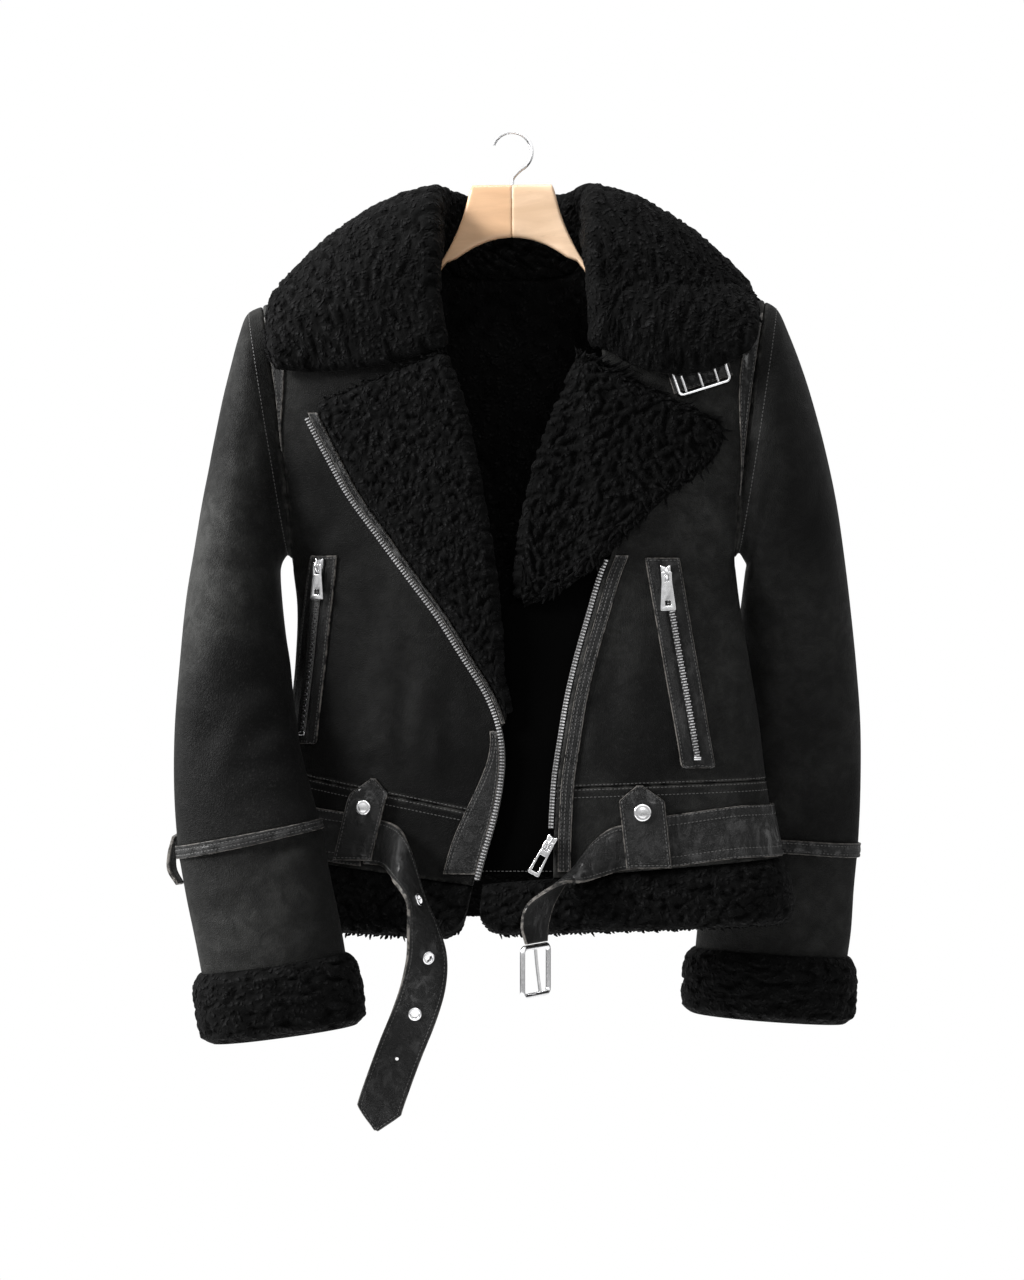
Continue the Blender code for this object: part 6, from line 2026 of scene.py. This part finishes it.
def make_belt_loops():
    """Pointed tabs over the belt with their snaps, and the plain loops at the back."""
    lines = []
    for side_name, loop in LOOPS.items():
        share = 0.02 + 0.98 * shares(44, 70, border=BELT_BORDER)
        z = loop.tip_z + share * (loop.foot_z - loop.tip_z)
        x = loop.tip_x + share * (loop.foot_x - loop.tip_x)
        half = loop.width / 2 * np.clip(share / 0.2, 0.15, 1)
        across = shares(15, loop.width, border=BELT_BORDER) * 2 - 1
        grid_x = x[:, None] + half[:, None] * across
        grid_z = repeat_columns(z, across)
        swell = 0.7 * np.exp(-((across * half[:, None] / 5.0) ** 2))
        raised = OVER_BELT * step(-grid_z, 562, 573) + swell * step(share, 0.45, 0.6)[:, None]
        lines += sewn_leather("belt_loop_" + side_name, grid_x, grid_z, (2.8, 0.6),
                              ("first", "last", "foot"), raised=raised)
        place = slider_frame(loop.snap_x, loop.snap_z, REST + OVER_BELT + SKIN + SEAM + 0.1, 0)
        radius = loop.snap_wide / 2
        profile = [(0.01, 0), *((share * radius, out) for share, out in SNAP_PROFILE), (0.01, 2.4)]
        across, inward, up = np.array(place.to_3x3()).T
        centre = np.array(place.translation) / MM
        name = "snap_" + side_name
        cap = ring_round(name + "_cap", (centre, across, up, -inward), profile, around=40)
        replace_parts(cap, name)
    z = np.interp(np.linspace(0, 4, 34), np.arange(5), [-568, -573, -579, -600, -617.5])
    raised = (BELT + 0.7) * step(-z, 566, 574)[:, None]
    for name, x in BACK_LOOPS.items():
        grid_x = x + 9.0 * (shares(9, 18, border=1.4) * 2 - 1)[None, :] + 0 * z[:, None]
        lines += sewn_leather(name, grid_x, repeat_columns(z, grid_x[0]), (2.4, 0.3),
                              ("first", "last"), side=1, raised=raised)
    return lines


# ---------------------------------------------------------------- buckles
BUCKLE_BAR = Vector((19.5, -102.0, -690.0))
BUCKLE_ACROSS = Vector((0.45, 0.89, 0)).normalized()
BUCKLE_WIRE, PRONG_WIRE = 2.2, 1.3
THROAT, THROAT_OUT = Edge(158.0, -211.0), 4.6      # the throat buckle's middle, and its height
THROAT_TILT = math.radians(18)


def frame_loop(half_wide, top, foot, corner, count=9):
    """A rounded rectangle as points across and up, with an arc at each corner."""
    right, high, low = half_wide - corner, top - corner, foot + corner
    centres = [(right, high), (-right, high), (-right, low), (right, low)]
    return [
        (cx + corner * math.cos(a), cy + corner * math.sin(a))
        for quarter, (cx, cy) in enumerate(centres)
        for a in (np.linspace(0, 1, count) + quarter) * math.pi / 2
    ]


def make_belt_buckle():
    """The buckle's frame and its prong, hanging from the strap's end."""
    up = Vector((0, 0, 1))
    out = BUCKLE_ACROSS.cross(up).normalized()

    def place(across, height, depth=0.0):
        return BUCKLE_BAR + across * BUCKLE_ACROSS + height * up + depth * out

    loop = [place(a, h) for a, h in frame_loop(24, 0, -40, 4.5)]
    rim = wire("buckle_frame", loop, BUCKLE_WIRE, out, "belt_buckle", cyclic=True, around=16)
    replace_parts(rim, "belt_buckle_frame")
    bends = [(-BUCKLE_WIRE - SEAM, 0.0), (-12, 0.9), (-24, 2.4), (-38, 4.4)]
    line = smooth_line([place(0, height, depth) for height, depth in bends], 24)
    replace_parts(wire("buckle_prong", line, PRONG_WIRE, BUCKLE_ACROSS, "belt_prong"), "belt_prong")


def make_throat_buckle():
    """The buckle under the right collar, with two keepers on its strap."""
    cosine, sine = math.cos(THROAT_TILT), math.sin(THROAT_TILT)

    def spot(across, height):
        return (THROAT.x + across * cosine - height * sine,
                THROAT.z + across * sine + height * cosine)

    def place(across, height, out):
        return body(*spot(across, height), -1, out)[0]

    loop = [place(a, h, THROAT_OUT) for a, h in frame_loop(22, 13, -13, 3.4)]
    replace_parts(wire("throat_frame", loop, 1.4, (0.1, -1, 0), cyclic=True), "throat_buckle")
    for number, across in enumerate((-16.0, -1.5, 12.0), 1):
        line = [place(across, h, THROAT_OUT + 0.5 * math.cos(h / 11 * math.pi / 2))
                for h in np.linspace(-11.4, 2.5, 12)]
        wire(f"throat_keeper_{number}", line, 1.05, (1, 0, 0))
    span, high = np.meshgrid(shares(24, 52) * 52 - 26, shares(9, 20) * 20 - 10, indexing="ij")
    x, z = spot(span, high)
    return sewn_leather("throat_strap", x, z, (2.2, 0.3), ("first", "last"))


def make_elbow_tab():
    """The small tab at the outside of the left elbow band."""
    spans = [
        Span(-283.6, -52, -600, 0.3, 0.9, 0.2, 13), Span(-287, -52, -615, 0.35, 0.9, 0.1, 13),
        Span(-287, -53, -629, 0.4, 0.9, 0, 13), Span(-280, -56, -641, 0.4, 0.9, 0, 11),
    ]
    tab = strap("elbow_tab_leather", spans, 40, (2.2, 0.3))
    declare_sheet(tab.outer)
    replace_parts(tab.object, "elbow_tab_left")
    return border_lines(tab, 2.2, "first", "last")


# ---------------------------------------------------------------- stage
CAMERA_FAR, CAMERA_HEIGHT = 3.058, -0.4352
FLOOR_LOW, FLOOR_WIDE = -1.6, 3.2
JACKET_MIDDLE = (0, 0, -0.42)


def make_camera():
    """The camera straight in front of the jacket, level with its middle."""
    data = bpy.data.cameras.new("front_view")
    data.lens, data.sensor_width = 100.0, 36.0
    data.clip_end = 50.0
    camera = new_object("front_view", data)
    camera.location = (0, -CAMERA_FAR, CAMERA_HEIGHT)
    camera.rotation_euler = (math.radians(90), 0, 0)
    bpy.context.scene.camera = camera


def area_light(name, at, wide, tall, power):
    """A soft light aimed at the jacket's middle; size in metres, power in watts."""
    data = bpy.data.lights.new(name, "AREA")
    data.shape = "RECTANGLE"
    data.size, data.size_y, data.energy = wide, tall, power
    lamp = new_object(name, data)
    lamp.location = at
    lamp.rotation_euler = (Vector(JACKET_MIDDLE) - Vector(at)).to_track_quat("-Z", "Y").to_euler()


def make_floor():
    """A pale disc well below the object."""
    place = Matrix.Translation((0, 0, FLOOR_LOW - 0.01))
    mesh = disc("studio_floor", FLOOR_WIDE, 0.02, 96, place)
    mesh.materials.append(finished("floor_pale"))
    new_object("studio_floor", mesh)


def make_world():
    """An even pale surround: white behind the object, softer where it lights the cloth, and
    in reflections bright above and dark below."""
    world = bpy.data.worlds.new("studio")
    world.use_nodes = True
    nodes, links = world.node_tree.nodes, world.node_tree.links
    path = nodes.new("ShaderNodeLightPath")
    shades = {}
    for label, strength in (("seen", 1.0), ("lit", 0.07), ("mirrored", 1.0)):
        shades[label] = nodes.new("ShaderNodeBackground")
        shades[label].inputs["Color"].default_value = (1, 1, 1, 1)
        shades[label].inputs["Strength"].default_value = strength
    glossy, pick = nodes.new("ShaderNodeMixShader"), nodes.new("ShaderNodeMixShader")
    toward, height = nodes.new("ShaderNodeTexCoord"), nodes.new("ShaderNodeSeparateXYZ")
    slope = nodes.new("ShaderNodeMapRange")
    slope.inputs["From Min"].default_value, slope.inputs["From Max"].default_value = -0.5, 0.6
    slope.inputs["To Min"].default_value, slope.inputs["To Max"].default_value = 0.02, 1.15
    links.new(toward.outputs["Generated"], height.inputs["Vector"])
    links.new(height.outputs["Z"], slope.inputs["Value"])
    links.new(slope.outputs["Result"], shades["mirrored"].inputs["Strength"])
    links.new(path.outputs["Is Glossy Ray"], glossy.inputs["Fac"])
    links.new(shades["lit"].outputs["Background"], glossy.inputs[1])
    links.new(shades["mirrored"].outputs["Background"], glossy.inputs[2])
    links.new(path.outputs["Is Camera Ray"], pick.inputs["Fac"])
    links.new(glossy.outputs["Shader"], pick.inputs[1])
    links.new(shades["seen"].outputs["Background"], pick.inputs[2])
    links.new(pick.outputs["Shader"], nodes["World Output"].inputs["Surface"])
    bpy.context.scene.world = world


def make_stage():
    bpy.context.scene.view_settings.view_transform = "Standard"
    make_world()
    make_floor()
    make_camera()
    area_light("key_light", (-2.5, -1.0, 1.0), 0.9, 0.9, 135)
    area_light("fill_light", (0.5, -2.8, 0.8), 1.2, 1.2, 11)
    area_light("left_strip", (-1.9, 0.2, 0.2), 0.4, 1.9, 40)
    area_light("right_strip", (1.9, -0.3, 0.1), 0.4, 1.9, 2)
    area_light("top_light", (0, -0.1, 1.5), 1.4, 0.8, 20)


# ---------------------------------------------------------------- panel
class JacketColours(bpy.types.PropertyGroup):
    """Colours of the hide, leather, wool, thread, metal and wood."""


COLOURS = {
    "hide_dark": ("Hide", (0.0007, 0.0007, 0.0007)),
    "hide_pale": ("Hide, light cloud", (0.0330, 0.0332, 0.0320)),
    "hide_worn": ("Hide, worn border", (0.070, 0.069, 0.065)),
    "strap_dark": ("Leather", (0.0010, 0.0010, 0.0010)),
    "strap_pale": ("Leather, light patch", (0.0045, 0.0045, 0.0045)),
    # partly the rubbed edge's own colour, partly a painted highlight
    "strap_edge_and_highlight": ("Leather, rubbed edge", (0.17, 0.158, 0.145)),
    # painted shade colour, for the wool's valleys and the inner flap
    "wool_deep": ("Wool between locks", (0.0001, 0.0001, 0.0001)),
    # painted highlight colour of the wool's tips
    "wool_tip": ("Wool tips", (0.0150, 0.0151, 0.0154)),
    "silver_dark": ("Metal, hazed", (0.80, 0.80, 0.81)),
    "silver": ("Metal", (0.95, 0.95, 0.96)),
    "wood_pale_dark": ("Pale wood grain", (0.72, 0.49, 0.31)),
    "wood_pale": ("Pale wood", (0.90, 0.65, 0.445)),
    "wood_warm_dark": ("Warm wood grain", (0.70, 0.43, 0.245)),
    "wood_warm": ("Warm wood", (0.86, 0.545, 0.32)),
    "thread_dark": ("Thread, shaded", (0.02, 0.02, 0.02)),
    "thread": ("Thread", (0.105, 0.103, 0.10)),
}
for label, (title, shade) in COLOURS.items():
    JacketColours.__annotations__[label] = bpy.props.FloatVectorProperty(
        name=title, description=title + " colour, linear", default=shade, size=3, min=0, max=1,
        subtype="COLOR",
    )


class JacketSizes(bpy.types.PropertyGroup):
    """Sizes of the sewing, zips and wool."""

    stitch_pitch: bpy.props.FloatProperty(
        name="Stitch pitch", description="From one stitch to the next",
        default=0.0033, min=0.001, unit="LENGTH",
    )
    tooth_pitch: bpy.props.FloatProperty(
        name="Tooth pitch", description="From one zip tooth to the next",
        default=0.0027, min=0.001, unit="LENGTH",
    )
    fringe_length: bpy.props.FloatProperty(
        name="Fringe length", description="Length of a lock along the right lapel",
        default=0.0105, min=0.001, unit="LENGTH",
    )


class PieceOperator:
    """What the operators share: each runs its own build."""

    bl_options = {"REGISTER", "UNDO"}

    def execute(self, context):
        self.build()
        return {"FINISHED"}


class JACKET_OT_hanger(PieceOperator, bpy.types.Operator):
    """Make the wooden hanger and its hook"""

    bl_idname, bl_label = "jacket.hanger", "Hanger"

    def build(self):
        make_hanger()
        make_hook()


class JACKET_OT_fronts(PieceOperator, bpy.types.Operator):
    """Make the two front panels and the flap under the right one"""

    bl_idname, bl_label = "jacket.fronts", "Fronts"

    def build(self):
        stitches("fronts_stitches", make_front("left") + make_front("right") + make_underlap())


class JACKET_OT_back(PieceOperator, bpy.types.Operator):
    """Make the back panel and its wool lining"""

    bl_idname, bl_label = "jacket.back", "Back"

    def build(self):
        stitches("back_stitches", make_back())


class JACKET_OT_waist(PieceOperator, bpy.types.Operator):
    """Make the waistband's three parts"""

    bl_idname, bl_label = "jacket.waist", "Waistband"

    def build(self):
        lines = [line for where in ("left", "right", "back") for line in make_waistband(where)]
        stitches("waistband_stitches", lines)


class JACKET_OT_hem(PieceOperator, bpy.types.Operator):
    """Make the hem's turned-up wool"""

    bl_idname, bl_label = "jacket.hem", "Hem"

    def build(self):
        for number, where in enumerate(("left", "right", "back")):
            made = make_hem(where, 51 + number)
            fringe("hem_fringe_" + where, made, "foot", 61 + number, 4.0, 1.5, 3.6, tuck=3.0)


class JACKET_OT_lapels(PieceOperator, bpy.types.Operator):
    """Make the lapels and the loose locks along their edges"""

    bl_idname, bl_label = "jacket.lapels", "Lapels"

    def build(self):
        left, right = make_left_lapel(), make_right_lapel()
        for number, tuck in enumerate((4.5, 10.0, 16.0)):
            fringe(f"lapel_fringe_right_{number}", right, "last", 71 + number,
                   of_size("fringe_length"), 2.2, 4.0, tuck=tuck, spread=0.45 - 0.2 * number)
        fringe("lapel_fringe_left", left, "last", 79, 4.0, 1.3, 3.0, tuck=3.0)
        for number, tuck in enumerate((3.5, 8.0)):
            fringe(f"lapel_notch_right_{number}", right, "top", 81 + number, 12.0, 2.0, 3.0,
                   tuck=tuck, spread=0.2)
        fringe("lapel_notch_left", left, "top", 85, 8.0, 1.8, 3.0, tuck=3.5, spread=0.2)


class JACKET_OT_collar(PieceOperator, bpy.types.Operator):
    """Make the collar and the loose locks along its edge"""

    bl_idname, bl_label = "jacket.collar", "Collar"

    def build(self):
        wool = make_collar()
        fringe("collar_fringe", wool, "last", 73, 7.5, 2.0, 2.8, tuck=4.5)


class JACKET_OT_sleeves(PieceOperator, bpy.types.Operator):
    """Make the sleeves, their elbow bands and their wool cuffs"""

    bl_idname, bl_label = "jacket.sleeves", "Sleeves"

    def build(self):
        for number, side_name in enumerate(("left", "right")):
            lines = make_sleeve(side_name) + make_elbow_band(side_name)
            stitches("sleeve_stitches_" + side_name, lines)
            make_cuff(side_name, 81 + number)


class JACKET_OT_borders(PieceOperator, bpy.types.Operator):
    """Make the armhole strips, the front zips and the strips beside them"""

    bl_idname, bl_label = "jacket.borders", "Strips and front zips"

    def build(self):
        stitches("border_stitches", make_armhole_strips() + make_front_zips())


class JACKET_OT_pockets(PieceOperator, bpy.types.Operator):
    """Make the pocket welts with their zips"""

    bl_idname, bl_label = "jacket.pockets", "Pockets"

    def build(self):
        stitches("pocket_stitches", make_pockets())


class JACKET_OT_sliders(PieceOperator, bpy.types.Operator):
    """Make the zip sliders and their pull tabs"""

    bl_idname, bl_label = "jacket.sliders", "Sliders"

    def build(self):
        make_sliders()


class JACKET_OT_belt(PieceOperator, bpy.types.Operator):
    """Make the belt's band, its loops with their snaps, its free ends, eyelets and buckle"""

    bl_idname, bl_label = "jacket.belt", "Belt"

    def build(self):
        stitches("belt_stitches", make_belt_band() + make_belt_loops() + make_belt_ends())
        make_belt_buckle()


class JACKET_OT_small_straps(PieceOperator, bpy.types.Operator):
    """Make the strap and buckle under the collar and the tab at the left elbow"""

    bl_idname, bl_label = "jacket.small_straps", "Small straps"

    def build(self):
        stitches("small_strap_stitches", make_throat_buckle() + make_elbow_tab())


class JACKET_OT_stage(PieceOperator, bpy.types.Operator):
    """Make the floor, the lights, the surround and the camera"""

    bl_idname, bl_label = "jacket.stage", "Stage"

    def build(self):
        make_stage()


OPERATORS = [
    JACKET_OT_hanger, JACKET_OT_fronts, JACKET_OT_back, JACKET_OT_waist, JACKET_OT_hem,
    JACKET_OT_lapels, JACKET_OT_collar, JACKET_OT_sleeves, JACKET_OT_borders, JACKET_OT_pockets,
    JACKET_OT_sliders, JACKET_OT_belt, JACKET_OT_small_straps, JACKET_OT_stage,
]


class JACKET_PT_pieces(bpy.types.Panel):
    """The jacket's pieces, sizes and colours"""

    bl_label, bl_idname = "Jacket", "JACKET_PT_pieces"
    bl_space_type, bl_region_type, bl_category = "VIEW_3D", "UI", "Jacket"

    def draw(self, context):
        layout = self.layout
        for operator in OPERATORS:
            layout.operator(operator.bl_idname)
        for group in (context.scene.jacket_sizes, context.scene.jacket_colours):
            box = layout.box()
            for label in group.__annotations__:
                box.prop(group, label)


CLASSES = [JacketColours, JacketSizes, *OPERATORS, JACKET_PT_pieces]


def register():
    for each in CLASSES:
        bpy.utils.register_class(each)
    bpy.types.Scene.jacket_colours = bpy.props.PointerProperty(type=JacketColours)
    bpy.types.Scene.jacket_sizes = bpy.props.PointerProperty(type=JacketSizes)


def unregister():
    del bpy.types.Scene.jacket_colours, bpy.types.Scene.jacket_sizes
    for each in reversed(CLASSES):
        bpy.utils.unregister_class(each)


def main():
    register()
    for operator in OPERATORS:
        group, name = operator.bl_idname.split(".")
        getattr(getattr(bpy.ops, group), name)()


if __name__ == "__main__":
    main()
